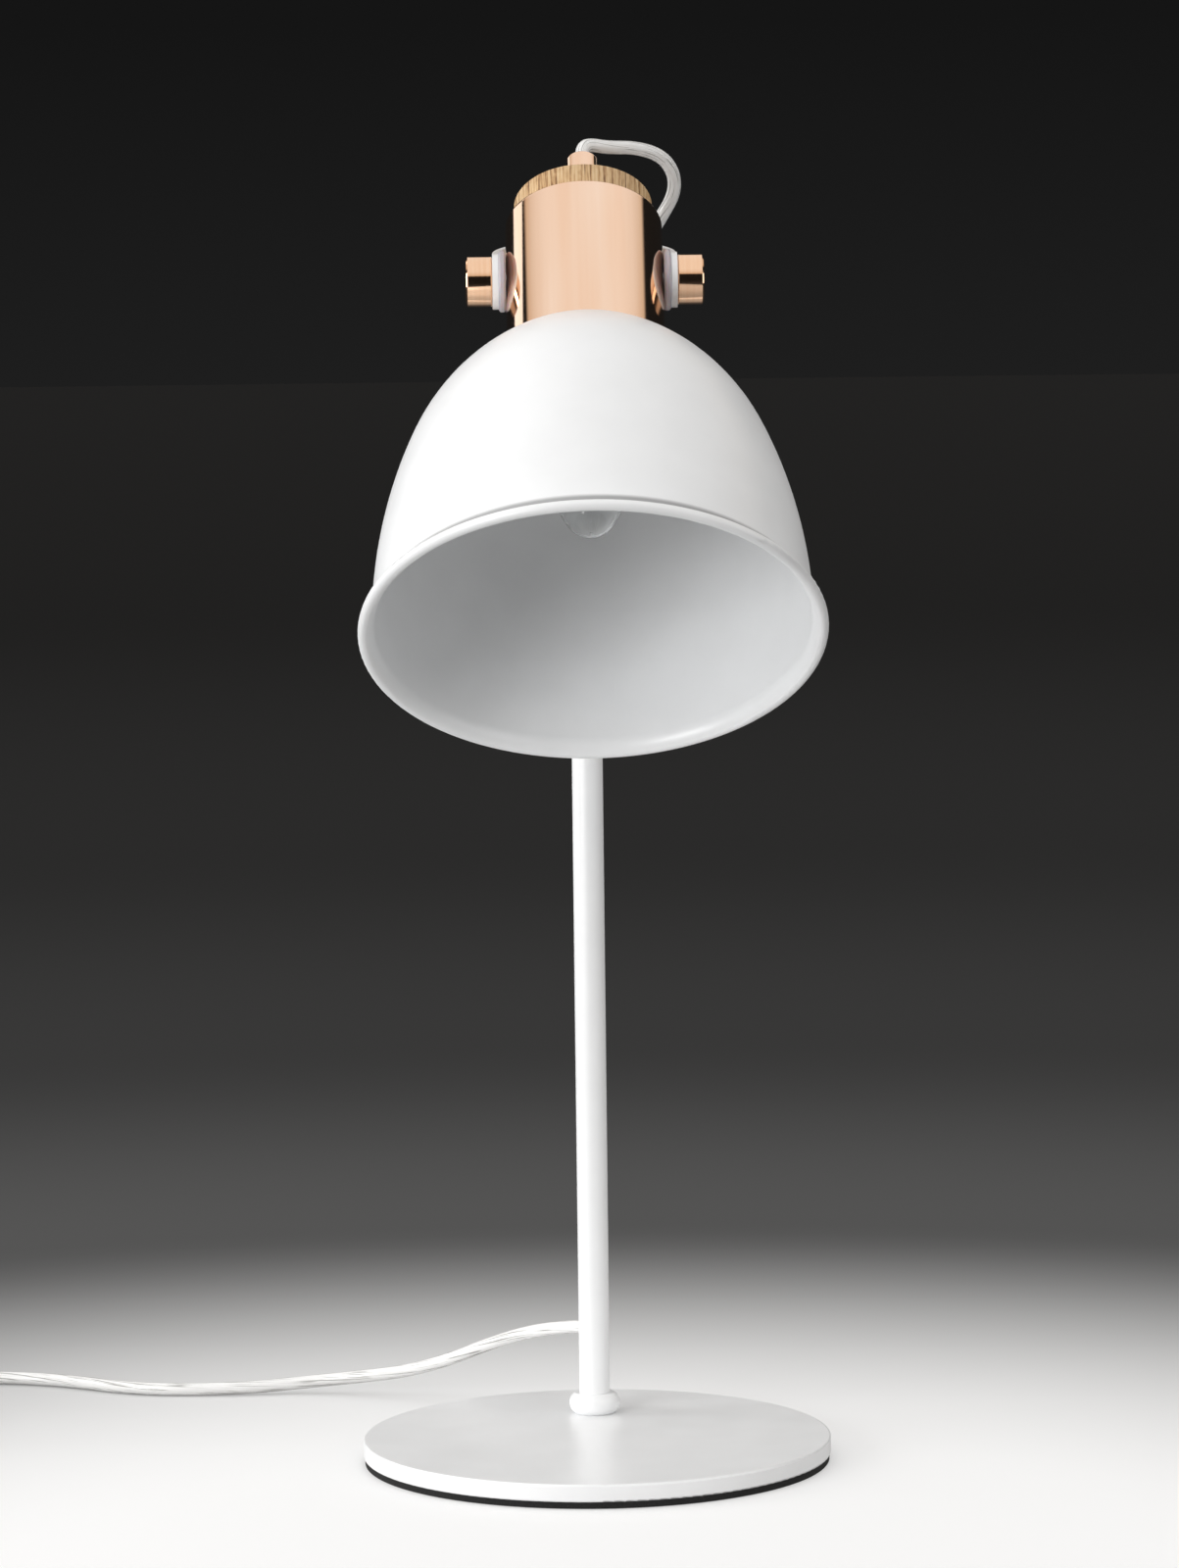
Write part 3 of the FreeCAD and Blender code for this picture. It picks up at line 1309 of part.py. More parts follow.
COVER_TOP = "(switch_base_height + switch_cover_height)"
over = on_switch(padded("over", shell_plan("0"), "switch_cover_height", "switch_round", ["top"]),
                 "switch_base_height")
over_room = on_switch(
    padded("over_room", shell_plan("switch_wall"), "switch_cover_height - switch_wall + overrun"),
    "switch_base_height - overrun")
over_posts = at_screws("over_post", "switch_post_radius", "switch_cover_height - switch_wall / 2",
                       "switch_base_height")
screw_top = "switch_screw_head_height + switch_screw_length"
over_ways = at_screws("over_way", "switch_screw_radius + press_gap",
                      f"{screw_top} + press_gap - switch_base_height + overrun",
                      "switch_base_height - overrun")
window = box("window", "rocker_length + 2 * rocker_end_gap", "rocker_width + 2 * rocker_gap", "2 * overrun",
             f"{SWITCH_MIDDLE} - rocker_length / 2 - rocker_end_gap",
             "switch_middle_back - rocker_width / 2 - rocker_gap", f"{COVER_TOP} - overrun")
lugs = [
    box(name, "6 * rocker_pin_radius", "rocker_frame_wall",
        f"{COVER_TOP} - rocker_pin_height + 2.5 * rocker_pin_radius - switch_wall / 2",
        f"{SWITCH_MIDDLE} - 3 * rocker_pin_radius", y, "rocker_pin_height - 2.5 * rocker_pin_radius")
    for name, y in (
        ("back_lug", "switch_middle_back + rocker_width / 2 + rocker_gap"),
        ("front_lug", "switch_middle_back - rocker_width / 2 - rocker_gap - rocker_frame_wall"),
    )
]
pin_way = cylinder("pin_way", "rocker_pin_radius + press_gap",
                   "rocker_width + 2 * rocker_gap + 2 * rocker_frame_wall")
place(pin_way, SWITCH_MIDDLE, "switch_middle_back - rocker_width / 2 - rocker_gap - rocker_frame_wall",
      "rocker_pin_height", (-1, 0, 0), "90")
over_shell = fuse("over_shell", cut("over_tray", over, over_room), *over_posts, *lugs)
node(cut("switch_over", over_shell, window, *over_ways, pin_way, flex_way), "switch_cover")

# The rocker rests with its left end down, which is off.
dish = "(rocker_end_height - rocker_middle_height)"
rocker_slab = extruded("rocker_slab", [
    ("-rocker_length / 2", "-rocker_skirt_height"),
    ("rocker_length / 2", "-rocker_skirt_height"),
    ("rocker_length / 2", "rocker_end_height", f"-(((rocker_length / 2)^2 + {dish}^2) / (2 * {dish}))"),
    ("-rocker_length / 2", "rocker_end_height"),
], "rocker_width", "XZ")
pin_end = "(rocker_width / 2 + rocker_gap + 0.8 * rocker_frame_wall)"
rocker_pins = cylinder("rocker_pins", "rocker_pin_radius", f"2 * {pin_end}")
place(rocker_pins, "0", f"-{pin_end}", "0", (-1, 0, 0), "90")
bind(rocker_slab, Placement__Base__y="rocker_width / 2")
rocker = fuse("rocker", rocker_slab, rocker_pins)
place(rocker, SWITCH_MIDDLE, "switch_middle_back", "rocker_pin_height", (0, -1, 0), "rocker_tilt")
node(rocker, "switch_rocker")

screw_floor = "switch_screw_head_height"
node(fuse(
    "switch_screw_pair",
    *at_screws("switch_head", "switch_screw_head_radius", "switch_screw_head_height - turn_gap", "turn_gap"),
    *at_screws("switch_shank", "switch_screw_radius", "switch_screw_length", screw_floor),
), "switch_screws")
node(fuse("switch_terminal_pair", *[
    box(f"terminal_{i}", "terminal_length", "terminal_width", "terminal_height",
        f"{SWITCH_MIDDLE} + {side} * terminal_aside - terminal_length / 2",
        "switch_middle_back - terminal_width / 2", "switch_wall")
    for i, side in ((1, 1), (2, -1))
]), "switch_terminals")

# Plug: a flat two-pin plug moulded onto the cord, lying on its broad side.

PLUG_X = "(relief_length - switch_near_end - switch_length)"
NECK = "plug_neck_width / 2"
BROAD = "plug_width / 2"
plug = padded("plug", [
    ("0", f"-{NECK}", "plug_flank_arc"),
    ("plug_shoulder", f"-{BROAD}"),
    ("plug_length", f"-{BROAD}"),
    ("plug_length", BROAD),
    ("plug_shoulder", BROAD, "plug_flank_arc"),
    ("0", NECK),
], "plug_thickness", "plug_round", ["top", "bottom"])
place(plug, PLUG_X, "plug_back", "plug_axis_height - plug_thickness / 2")


def at_pins(name, section):
    """The same turned piece on the axis of both pins, with +Z out of the plug's face."""
    pieces = []
    for i, side in ((1, 1), (2, -1)):
        piece = turned(f"{name}_{i}", section)
        place(piece, f"{PLUG_X} + plug_length", f"plug_back + {side} * plug_pin_spacing / 2",
              "plug_axis_height", (0, 1, 0), "90")
        pieces.append(piece)
    return pieces


pin_ways = at_pins("pin_way", [
    ("0", "-plug_pin_root - press_gap"),
    ("plug_pin_radius + press_gap", "-plug_pin_root - press_gap"),
    ("plug_pin_radius + press_gap", "overrun"),
    ("0", "overrun"),
])
node(cut("plug_moulding", plug, *pin_ways), "plug_shell")
node(fuse("plug_pin_pair", *at_pins("pin", [
    ("0", "-plug_pin_root"),
    ("plug_pin_radius", "-plug_pin_root"),
    ("plug_pin_radius", "plug_pin_length - plug_pin_round", "plug_pin_round"),
    ("plug_pin_radius - plug_pin_round", "plug_pin_length"),
    ("0", "plug_pin_length"),
])), "plug_pins")

ribs = [("cord_radius + cord_fit", "0"), ("relief_tip_radius", "0")]
groove_corners = [("0", "0"), ("0", "relief_groove"), ("relief_rib", "relief_groove"), ("relief_rib", "0")]
for i in range(RELIEF_RIBS):
    start = f"({i} + 0.5) * relief_length / {RELIEF_RIBS + 1}"
    for offset, groove in groove_corners:
        along = f"({start} + {offset})"
        taper = f"(relief_tip_radius + (relief_root_radius - relief_tip_radius) * {along} / relief_length)"
        ribs.append((f"{taper} - {groove}", along))
ribs += [
    ("relief_root_radius", "relief_length"),
    ("0", "relief_length"),
    ("0", "relief_grip + press_gap"),
    ("cord_radius + cord_fit", "relief_grip + press_gap"),
]
relief = turned("relief", ribs)
place(relief, f"{PLUG_X} - relief_length", "plug_back", "plug_axis_height", (0, 1, 0), "90")
node(relief, "plug_relief")

# Hand over: every piece must be sound before its file is written.

doc.recompute()
faulty = [o.Name for o in doc.Objects if "Invalid" in o.State or "Error" in o.State]
if faulty:
    raise RuntimeError(f"objects that failed: {faulty}")
for piece in nodes:
    shape = piece.Shape
    if shape.isNull() or not shape.isValid() or not shape.Solids:
        raise RuntimeError(f"{piece.Label} is not a sound solid")
    shape.exportStep(f"parts/{piece.Label}.step")
    size = shape.BoundBox
    print(f"{piece.Label}: {len(shape.Solids)} solid, {shape.Volume:.0f} mm3,"
          f" x {size.XMin:.1f} {size.XMax:.1f}, y {size.YMin:.1f} {size.YMax:.1f},"
          f" z {size.ZMin:.1f} {size.ZMax:.1f}")
print(len(nodes), "pieces")
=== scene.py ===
import math
import bmesh
import bpy
from mathutils import Matrix, Vector


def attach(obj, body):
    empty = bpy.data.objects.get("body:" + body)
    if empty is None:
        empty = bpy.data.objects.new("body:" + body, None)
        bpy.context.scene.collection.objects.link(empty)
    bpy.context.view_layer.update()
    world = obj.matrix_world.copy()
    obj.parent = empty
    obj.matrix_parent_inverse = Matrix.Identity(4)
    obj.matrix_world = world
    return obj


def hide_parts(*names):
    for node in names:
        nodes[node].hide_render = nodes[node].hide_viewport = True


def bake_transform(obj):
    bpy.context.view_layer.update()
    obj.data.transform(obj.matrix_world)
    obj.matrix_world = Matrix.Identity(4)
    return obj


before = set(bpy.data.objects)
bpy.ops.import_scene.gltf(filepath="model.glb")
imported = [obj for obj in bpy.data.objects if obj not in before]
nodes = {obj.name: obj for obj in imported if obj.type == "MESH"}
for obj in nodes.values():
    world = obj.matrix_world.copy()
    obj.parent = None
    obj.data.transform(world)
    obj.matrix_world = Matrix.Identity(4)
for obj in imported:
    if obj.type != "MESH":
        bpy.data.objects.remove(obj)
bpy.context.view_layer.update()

scene = bpy.context.scene

# Foot: a flat steel disc, cut, its edges eased and powder coated satin white, on a die-cut pad of black foam.
# A zinc-plated countersunk screw comes up through its middle into the insert in the stem.
mm = 0.001
per_mm = 1000.0


def paint(code):
    """A colour written as on a screen, in the renderer's linear values."""
    parts = [int(code[i:i + 2], 16) / 255 for i in (1, 3, 5)]
    return tuple(p / 12.92 if p <= 0.04045 else ((p + 0.055) / 1.055) ** 2.4 for p in parts) + (1.0,)


def add(tree, kind, inputs=None, stops=(), **settings):
    """A shader node. An input is a value or the socket that feeds it; stops are a band's places and tones."""
    made = tree.nodes.new("ShaderNode" + kind)
    for key, value in settings.items():
        setattr(made, key, value)
    for key, value in (inputs or {}).items():
        if isinstance(value, bpy.types.NodeSocket):
            tree.links.new(value, made.inputs[key])
        else:
            made.inputs[key].default_value = value
    if stops:
        band = made.color_ramp
        while len(band.elements) < len(stops):
            band.elements.new(0.5)
        for element, (place, code) in zip(band.elements, stops):
            element.position = place
            element.color = paint(code)
    return made


def material(name, code, **values):
    """A new surface with one colour and a few plain values, and its tree and shader."""
    made = bpy.data.materials.new(name)
    made.use_nodes = True
    made.diffuse_color = paint(code)
    shader = made.node_tree.nodes["Principled BSDF"]
    shader.inputs["Base Color"].default_value = paint(code)
    for key, value in values.items():
        shader.inputs[key.replace("_", " ")].default_value = value
    return made, made.node_tree, shader


def vary(tree, shader, pattern, tones=(), rough=(), depth=0.0, strength=1.0):
    """Let a pattern vary a surface: its colour, its roughness from one value to another, and its relief."""
    if tones:
        colour = add(tree, "ValToRGB", {"Fac": pattern}, stops=tones).outputs["Color"]
        tree.links.new(colour, shader.inputs["Base Color"])
    if rough:
        spread = add(tree, "MapRange", {"Value": pattern, "To Min": rough[0], "To Max": rough[1]})
        tree.links.new(spread.outputs["Result"], shader.inputs["Roughness"])
    if depth:
        bump = add(tree, "Bump", {"Height": pattern, "Strength": strength, "Distance": depth})
        tree.links.new(bump.outputs["Normal"], shader.inputs["Normal"])


def dress(surface, *names):
    """Give CAD pieces whose shape is right their surface."""
    for name in names:
        for holder in nodes[name].material_slots:
            holder.material = surface


# Powder coat: beads of powder flow into low swells about a millimetre wide, so the satin shine is uneven.
white_coat, tree, shader = material("powder_coat_satin_white", "#eeefef", Roughness=0.32)
where = add(tree, "TexCoord").outputs["Object"]
swells = add(tree, "TexNoise", {"Vector": where, "Scale": 0.9 * per_mm, "Detail": 2.0}).outputs["Fac"]
vary(tree, shader, swells, depth=0.03 * mm, strength=0.5)
cloud = add(tree, "TexNoise", {"Vector": where, "Scale": 0.055 * per_mm, "Detail": 3.0}).outputs["Fac"]
vary(tree, shader, cloud, tones=((0.3, "#edeeef"), (0.7, "#f0f1f2")), rough=(0.28, 0.36))

# Closed-cell foam, die cut: pinholes of half a millimetre that take the light.
foam, tree, shader = material("foam_closed_cell_black", "#121212", Roughness=0.95)
where = add(tree, "TexCoord").outputs["Object"]
cells = add(tree, "TexVoronoi", {"Vector": where, "Scale": 1.8 * per_mm}).outputs["Distance"]
vary(tree, shader, cells, tones=((0.1, "#0a0a0a"), (0.6, "#1b1b1b")), depth=0.2 * mm)

# Zinc plate on turned steel: a bluish grey, mottled by the plate's fine crystals.
zinc, tree, shader = material("steel_zinc_plated", "#b9bcc0", Metallic=1.0, Roughness=0.3)
where = add(tree, "TexCoord").outputs["Object"]
bloom = add(tree, "TexNoise", {"Vector": where, "Scale": 0.7 * per_mm, "Detail": 4.0}).outputs["Fac"]
vary(tree, shader, bloom, rough=(0.22, 0.42), depth=0.02 * mm, strength=0.4)

dress(white_coat, "base_plate")
dress(foam, "base_pad")
dress(zinc, "base_screw", "stem_insert")

# Stem: a thin steel tube, powder coated with the ring at its foot and the block at its top, with a moulded
# rubber grommet in each of the two holes that the cord goes through.
# Moulded rubber is dull, with a fine bloom.
rubber, tree, shader = material("rubber_moulded_black", "#141414", Roughness=0.6)
where = add(tree, "TexCoord").outputs["Object"]
bloom = add(tree, "TexNoise", {"Vector": where, "Scale": 1.5 * per_mm, "Detail": 3.0}).outputs["Fac"]
vary(tree, shader, bloom, rough=(0.5, 0.72), depth=0.02 * mm, strength=0.5)
dress(white_coat, "stem_tube", "foot_collar", "yoke_block")
dress(rubber, "upper_grommet", "lower_grommet")

# Fork: flat steel bar, cut, bent round the head and powder coated, and held to the block on the stem with a
# zinc-plated screw.
dress(white_coat, "yoke")
dress(zinc, "yoke_screw")

# Collar and cord gland: a drawn cup and a turned gland, polished and copper plated under a clear lacquer. A
# hollow zinc-plated nipple with a washer and nut clamps gland, wood, collar and lamp holder together, and a
# small grub screw in the gland holds the cord.
pivot = (0, -24 * mm, 452 * mm)
head_tilt = math.radians(36)
to_head = Matrix.Translation(pivot) @ Matrix.Rotation(head_tilt, 4, (-1, 0, 0))


def along_head(tree, stretch=(1, 1, 1)):
    """Coordinates of the tilted head, with Z up its axis; less than 1 draws a pattern out that way."""
    start = add(tree, "TexCoord").outputs["Object"]
    back = to_head.inverted()
    turned = add(tree, "Mapping", {
        "Vector": start, "Location": back.translation, "Rotation": back.to_euler(),
    }).outputs["Vector"]
    return add(tree, "VectorMath", {0: turned, 1: stretch}, operation="MULTIPLY").outputs["Vector"]


# The plating is nearly a mirror, with faint polishing lines along the axis and a slow drift of colour.
copper, tree, shader = material("copper_plate_polished_lacquered", "#f7d3b8", Metallic=1.0, Roughness=0.07)
lines = add(tree, "TexNoise", {
    "Vector": along_head(tree, (1, 1, 0.03)), "Scale": 0.3 * per_mm, "Detail": 2.0,
}).outputs["Fac"]
vary(tree, shader, lines, rough=(0.05, 0.1))
drift = add(tree, "TexNoise", {
    "Vector": along_head(tree, (1, 1, 0.2)), "Scale": 0.06 * per_mm, "Detail": 1.0,
}).outputs["Fac"]
tone = add(tree, "MixRGB", {"Fac": 0.35, "Color1": drift, "Color2": lines}).outputs["Color"]
vary(tree, shader, tone, tones=((0.35, "#f5ceb1"), (0.65, "#f9dac2")))
dress(copper, "copper_collar", "cord_gland")
dress(zinc, "gland_grub_screw", "threaded_nipple", "lock_washer", "lock_nut")

# Wood disc: turned from light oak with its fibres along the head's axis, and oiled. It lies on the collar's
# top, clamped there by the gland.
# Pores show on its side as fine dark strokes and on its top as dots, drawn coarser than real ones to be seen.
# Year rings some 2.7 mm apart, round a heart well off the disc, shade both a little.
oak, tree, shader = material("oak_turned_oiled", "#c79f6c", Roughness=0.5)
heart = (31 * mm, 52 * mm, 0)
fibres = add(tree, "TexNoise", {
    "Vector": along_head(tree, (1, 1, 0.03)), "Scale": 1.5 * per_mm, "Detail": 3.0, "Roughness": 0.6,
}).outputs["Fac"]
years = add(tree, "TexNoise", {
    "Vector": along_head(tree, (1, 0.5, 0.02)), "Scale": 0.42 * per_mm, "Detail": 3.0, "Distortion": 0.6,
}).outputs["Fac"]
off_heart = add(tree, "VectorMath", {0: along_head(tree), 1: heart}, operation="ADD").outputs["Vector"]
rings = add(tree, "TexWave", {
    "Vector": off_heart, "Scale": 0.118 * per_mm, "Distortion": 4.0, "Detail": 3.0, "Detail Scale": 2.0,
}, wave_type="RINGS", rings_direction="Z").outputs["Fac"]
pores = add(tree, "MixRGB", {"Fac": 0.2, "Color1": fibres, "Color2": years}).outputs["Color"]
grain = add(tree, "MixRGB", {"Fac": 0.07, "Color1": pores, "Color2": rings}).outputs["Color"]
vary(tree, shader, grain, tones=((0.37, "#6b4929"), (0.43, "#a87f53"), (0.5, "#cda97b"), (0.62, "#dfc299")))
vary(tree, shader, fibres, rough=(0.4, 0.62), depth=0.08 * mm, strength=0.6)
dress(oak, "wood_disc")

# Lamp holder: two white resin mouldings round a glazed ceramic insert with a nickel-plated brass shell and
# contact, and a moulded ring on its thread that clamps the shade.
# Moulded resin has an even gloss that the flow in the mould clouds a little.
resin, tree, shader = material("resin_moulded_white", "#e6e5e0", Roughness=0.38)
where = add(tree, "TexCoord").outputs["Object"]
flow = add(tree, "TexNoise", {"Vector": where, "Scale": 0.32 * per_mm, "Detail": 3.0}).outputs["Fac"]
vary(tree, shader, flow, rough=(0.3, 0.45), depth=0.02 * mm, strength=0.4)
# Glazed ceramic is glassy, a little duller where the glaze is thin.
ceramic, tree, shader = material("ceramic_glazed_white", "#eeece6", Roughness=0.15)
where = add(tree, "TexCoord").outputs["Object"]
glaze = add(tree, "TexNoise", {"Vector": where, "Scale": 0.24 * per_mm, "Detail": 2.0}).outputs["Fac"]
vary(tree, shader, glaze, rough=(0.08, 0.25))
# Nickel plate on drawn brass is a warm grey, bright, with fine marks from drawing.
nickel, tree, shader = material("brass_nickel_plated", "#cfc8b2", Metallic=1.0, Roughness=0.22)
where = add(tree, "TexCoord").outputs["Object"]
drawn = add(tree, "TexNoise", {"Vector": where, "Scale": 0.9 * per_mm, "Detail": 3.0}).outputs["Fac"]
vary(tree, shader, drawn, rough=(0.15, 0.3), depth=0.01 * mm, strength=0.4)
dress(resin, "holder_cap", "holder_body", "shade_ring")
dress(ceramic, "holder_insert")
dress(nickel, "screw_shell", "centre_contact", "bulb_cap", "switch_terminals", "plug_pins")

# Shade: spun from one steel sheet over a form, its mouth flared and rolled outwards into a bead, and coated
# inside and out. Just above the bead on the outside, a soft grey line of painted shade darkens the coat.
shade_line_height = (-153.5 * mm, -149.5 * mm)
wall_radius = (78.9 * mm, 79.3 * mm)
shade_coat = white_coat.copy()
shade_coat.name = "powder_coat_satin_white_with_painted_shade_line"
tree = shade_coat.node_tree
shader = tree.nodes["Principled BSDF"]
plain = shader.inputs["Base Color"].links[0].from_socket
up_axis = add(tree, "SeparateXYZ", {"Vector": along_head(tree)}).outputs["Z"]
shade_line_place = add(tree, "MapRange", {
    "Value": up_axis, "From Min": shade_line_height[0], "From Max": shade_line_height[1],
}).outputs["Result"]
# Painted shade: the grey stops darken a narrow band of the outer wall just above the bead.
painted_shade_line = add(tree, "ValToRGB", {"Fac": shade_line_place}, stops=(
    (0.0, "#ffffff"), (0.15, "#a8a8a8"), (0.65, "#b0b0b0"), (1.0, "#ffffff"))).outputs["Color"]
from_axis = add(tree, "VectorMath", {0: along_head(tree, (1, 1, 0))}, operation="LENGTH").outputs["Value"]
outside = add(tree, "MapRange", {
    "Value": from_axis, "From Min": wall_radius[0], "From Max": wall_radius[1],
}).outputs["Result"]
with_painted_shade = add(tree, "MixRGB", {"Fac": outside, "Color1": plain, "Color2": painted_shade_line}, blend_type="MULTIPLY")
tree.links.new(with_painted_shade.outputs["Color"], shader.inputs["Base Color"])
dress(shade_coat, "shade")

# Bulb: a clear blown candle bulb with its filament on a glass mount, in a nickel-plated brass cap with a
# black glass insulator and a contact at its end.
# Blown glass is clear and nearly smooth, with slow waves some 17 mm long.
glass, tree, shader = material(
    "glass_blown_clear", "#fdfefe", Roughness=0.02, Transmission_Weight=1.0, IOR=1.45)
where = add(tree, "TexCoord").outputs["Object"]
blown = add(tree, "TexNoise", {"Vector": where, "Scale": 0.06 * per_mm, "Detail": 1.0}).outputs["Fac"]
vary(tree, shader, blown, depth=0.1 * mm, strength=0.15)
# Pressed black glass is glossy, a little uneven from the mould.
black_glass, tree, shader = material("glass_pressed_black", "#08080a", Roughness=0.12)
where = add(tree, "TexCoord").outputs["Object"]
pressed = add(tree, "TexNoise", {"Vector": where, "Scale": 0.5 * per_mm}).outputs["Fac"]
vary(tree, shader, pressed, rough=(0.08, 0.2))
dress(glass, "bulb_glass", "bulb_mount")
dress(black_glass, "bulb_insulator")
dress(zinc, "bulb_contact", "bulb_filament")

# Pivot: on each side of the head a steel stud runs from a turned, copper-plated knob through the fork's ear
# and a clear nylon washer into a nut inside the collar, so that the knob clamps the tilt.
# Moulded nylon lets light in a little way and has a faint violet cast against the white fork.
nylon, tree, shader = material("nylon_moulded_clear", "#dcd6de", Roughness=0.35, Transmission_Weight=0.35,
                               Subsurface_Weight=0.3, Subsurface_Scale=2 * mm)
where = add(tree, "TexCoord").outputs["Object"]
flow = add(tree, "TexNoise", {"Vector": where, "Scale": 0.26 * per_mm, "Detail": 2.0}).outputs["Fac"]
vary(tree, shader, flow, rough=(0.28, 0.42))
dress(nylon, "right_washer", "left_washer")
# The knobs' plate is a little redder than the collar's, and their turned sides keep faint rings.
knob_copper, tree, shader = material("copper_plate_on_turned_knob", "#f6cba8", Metallic=1.0, Roughness=0.08)
where = add(tree, "TexCoord").outputs["Object"]
along = add(tree, "VectorMath", {0: where, 1: (1, 0.03, 0.03)}, operation="MULTIPLY").outputs["Vector"]
turned = add(tree, "TexNoise", {"Vector": along, "Scale": 0.9 * per_mm, "Detail": 2.0}).outputs["Fac"]
vary(tree, shader, turned, tones=((0.35, "#f4c7a3"), (0.65, "#f8cfad")), rough=(0.06, 0.12))
dress(knob_copper, "right_knob", "left_knob")
dress(zinc, "right_stud", "left_stud", "right_pivot_nut", "left_pivot_nut")

# Cord: round two-core flex with a clear sheath over bright tinned strands. Its ends are fixed by the gland,
# the stem's two grommets, the switch and the plug. Each stretch follows a smooth line led by a few points.
sheath_radius = 2.6 * mm
core_radius = 1.0 * mm
# The extruded sheath is clear and a little milky, and the strands' lines show through it in grey.
# Each tube keeps coordinates of its own, so that the lines follow it: two that wind slowly round it, and one
# along it that counts tenths of a metre.
sheath, tree, shader = material("sheath_extruded_clear", "#f8f8f7", Roughness=0.14, Transmission_Weight=0.1,
                                IOR=1.42, Subsurface_Weight=0.6, Subsurface_Scale=6 * mm)
shader.inputs["Subsurface Radius"].default_value = (1.0, 1.0, 1.0)
round_it = add(tree, "Attribute", attribute_name="round_and_along").outputs["Vector"]
wires = add(tree, "TexNoise", {"Vector": round_it, "Scale": 5.0, "Detail": 2.0}).outputs["Fac"]
vary(tree, shader, wires, tones=((0.35, "#a3a2a0"), (0.43, "#f4f4f2"), (0.6, "#fefefd")))
haze = add(tree, "TexNoise", {"Vector": round_it, "Scale": 1.4}).outputs["Fac"]
vary(tree, shader, haze, rough=(0.1, 0.22))
# Tinned copper strands are pale and softly bright, with the ridges of the single wires.
strands, tree, shader = material("copper_strands_tinned", "#f1f1ee", Metallic=0.4, Roughness=0.3)
round_it = add(tree, "Attribute", attribute_name="round_and_along").outputs["Vector"]
wires = add(tree, "TexNoise", {"Vector": round_it, "Scale": 3.0, "Detail": 1.0}).outputs["Fac"]
vary(tree, shader, wires, rough=(0.2, 0.4), depth=0.2 * mm, strength=0.8)


def smooth_line(points, steps=8):
    """Points, in metres, on the smooth line that a few given points in millimetres lead."""
    curve = bpy.data.curves.new("route", "CURVE")
    curve.dimensions = "3D"
    spline = curve.splines.new("NURBS")
    spline.points.add(len(points) - 1)
    for point, spot in zip(spline.points, points):
        point.co = (spot[0] * mm, spot[1] * mm, spot[2] * mm, 1.0)
    spline.order_u = 3
    spline.use_endpoint_u = True
    spline.resolution_u = steps
    carrier = bpy.data.objects.new("route", curve)
    line = bpy.data.meshes.new_from_object(carrier)
    spots = [vertex.co.copy() for vertex in line.vertices]
    bpy.data.objects.remove(carrier)
    return spots


def stations(line, step):
    """Even places on a line, each with its heading and a side that turns as little as it can."""
    runs = [(b - a).length for a, b in zip(line, line[1:])]
    total = sum(runs)
    count = max(2, round(total / step))
    found, run, gone, side = [], 0, 0.0, None
    for i in range(count + 1):
        target = total * i / count
        while run < len(runs) - 1 and gone + runs[run] < target:
            gone += runs[run]
            run += 1
        share = (target - gone) / runs[run]
        heading = (line[run + 1] - line[run]).normalized()
        if side is None:
            side = heading.orthogonal()
        side = (side - heading * side.dot(heading)).normalized()
        found.append((line[run].lerp(line[run + 1], share), heading, side))
    return found, total


def tube(name, line, radius, surface, sides=16, step=1.2 * mm, aside=0.0, lay=70 * mm, start=0.0):
    """A round tube along a line, or a strand that winds round it at a distance aside, a turn in each lay."""
    mesh = bpy.data.meshes.new(name)
    work = bmesh.new()
    spots, total = stations(line, step)
    turns = [2 * math.pi * k / sides for k in range(sides)]
    rings, around = [], []
    for i, (spot, heading, side) in enumerate(spots):
        other = heading.cross(side)
        gone = total * i / len(spots)
        swing = start + 2 * math.pi * gone / lay
        slow_swing = swing / 3
        tenths = gone / 0.1
        middle = spot + (side * math.cos(swing) + other * math.sin(swing)) * aside
        rim = [middle + (side * math.cos(a) + other * math.sin(a)) * radius for a in turns]
        rings.append([work.verts.new(place) for place in rim])
        for a in turns:
            around += (math.cos(a - slow_swing), math.sin(a - slow_swing), tenths)
    for low, high in zip(rings, rings[1:]):
        for k in range(sides):
            work.faces.new([low[k], low[(k + 1) % sides], high[(k + 1) % sides], high[k]])
    work.faces.new(rings[0][::-1])
    work.faces.new(rings[-1])
    work.to_mesh(mesh)
    work.free()
    mesh.attributes.new("round_and_along", "FLOAT_VECTOR", "POINT").data.foreach_set("vector", around)
    mesh.polygons.foreach_set("use_smooth", [True] * len(mesh.polygons))
    mesh.set_sharp_from_angle(angle=math.radians(40))
    mesh.materials.append(surface)
    piece = bpy.data.objects.new(name, mesh)
    scene.collection.objects.link(piece)
    return piece


def flex(name, line):
    """The sheath and the two cores of a stretch of flex."""
    outside = tube(name + "_sheath", line, sheath_radius, sheath)
    cores = [
        tube(f"{name}_core_{k + 1}", line, core_radius, strands, sides=10, step=1.6 * mm,
             aside=1.05 * mm, lay=90 * mm, start=math.pi * k)
        for k in range(2)
    ]
    return outside, cores


# The slack loop leaves the stem's back, swings out to the right, rises and comes down into the gland.
loop_line = smooth_line([
    (0, 52.19, 424.19), (0, 59.60, 431.60), (4.45, 64.20, 439.58), (12.54, 62.72, 447.94),
    (20.14, 58.00, 456.98), (25.73, 54.01, 467.51), (31.39, 49.00, 476.82), (36.18, 43.59, 485.19),
    (36.10, 38.95, 493.09), (31.08, 33.82, 499.78), (21.28, 27.28, 502.75), (10.18, 20.33, 502.59),
    (2.39, 15.28, 503.81), (0, 12.09, 501.69), (0, 9.50, 498.11),
])
loop, loop_cores = flex("loop", loop_line)
for piece in (loop, *loop_cores):
    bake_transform(piece)
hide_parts("cord_loop")

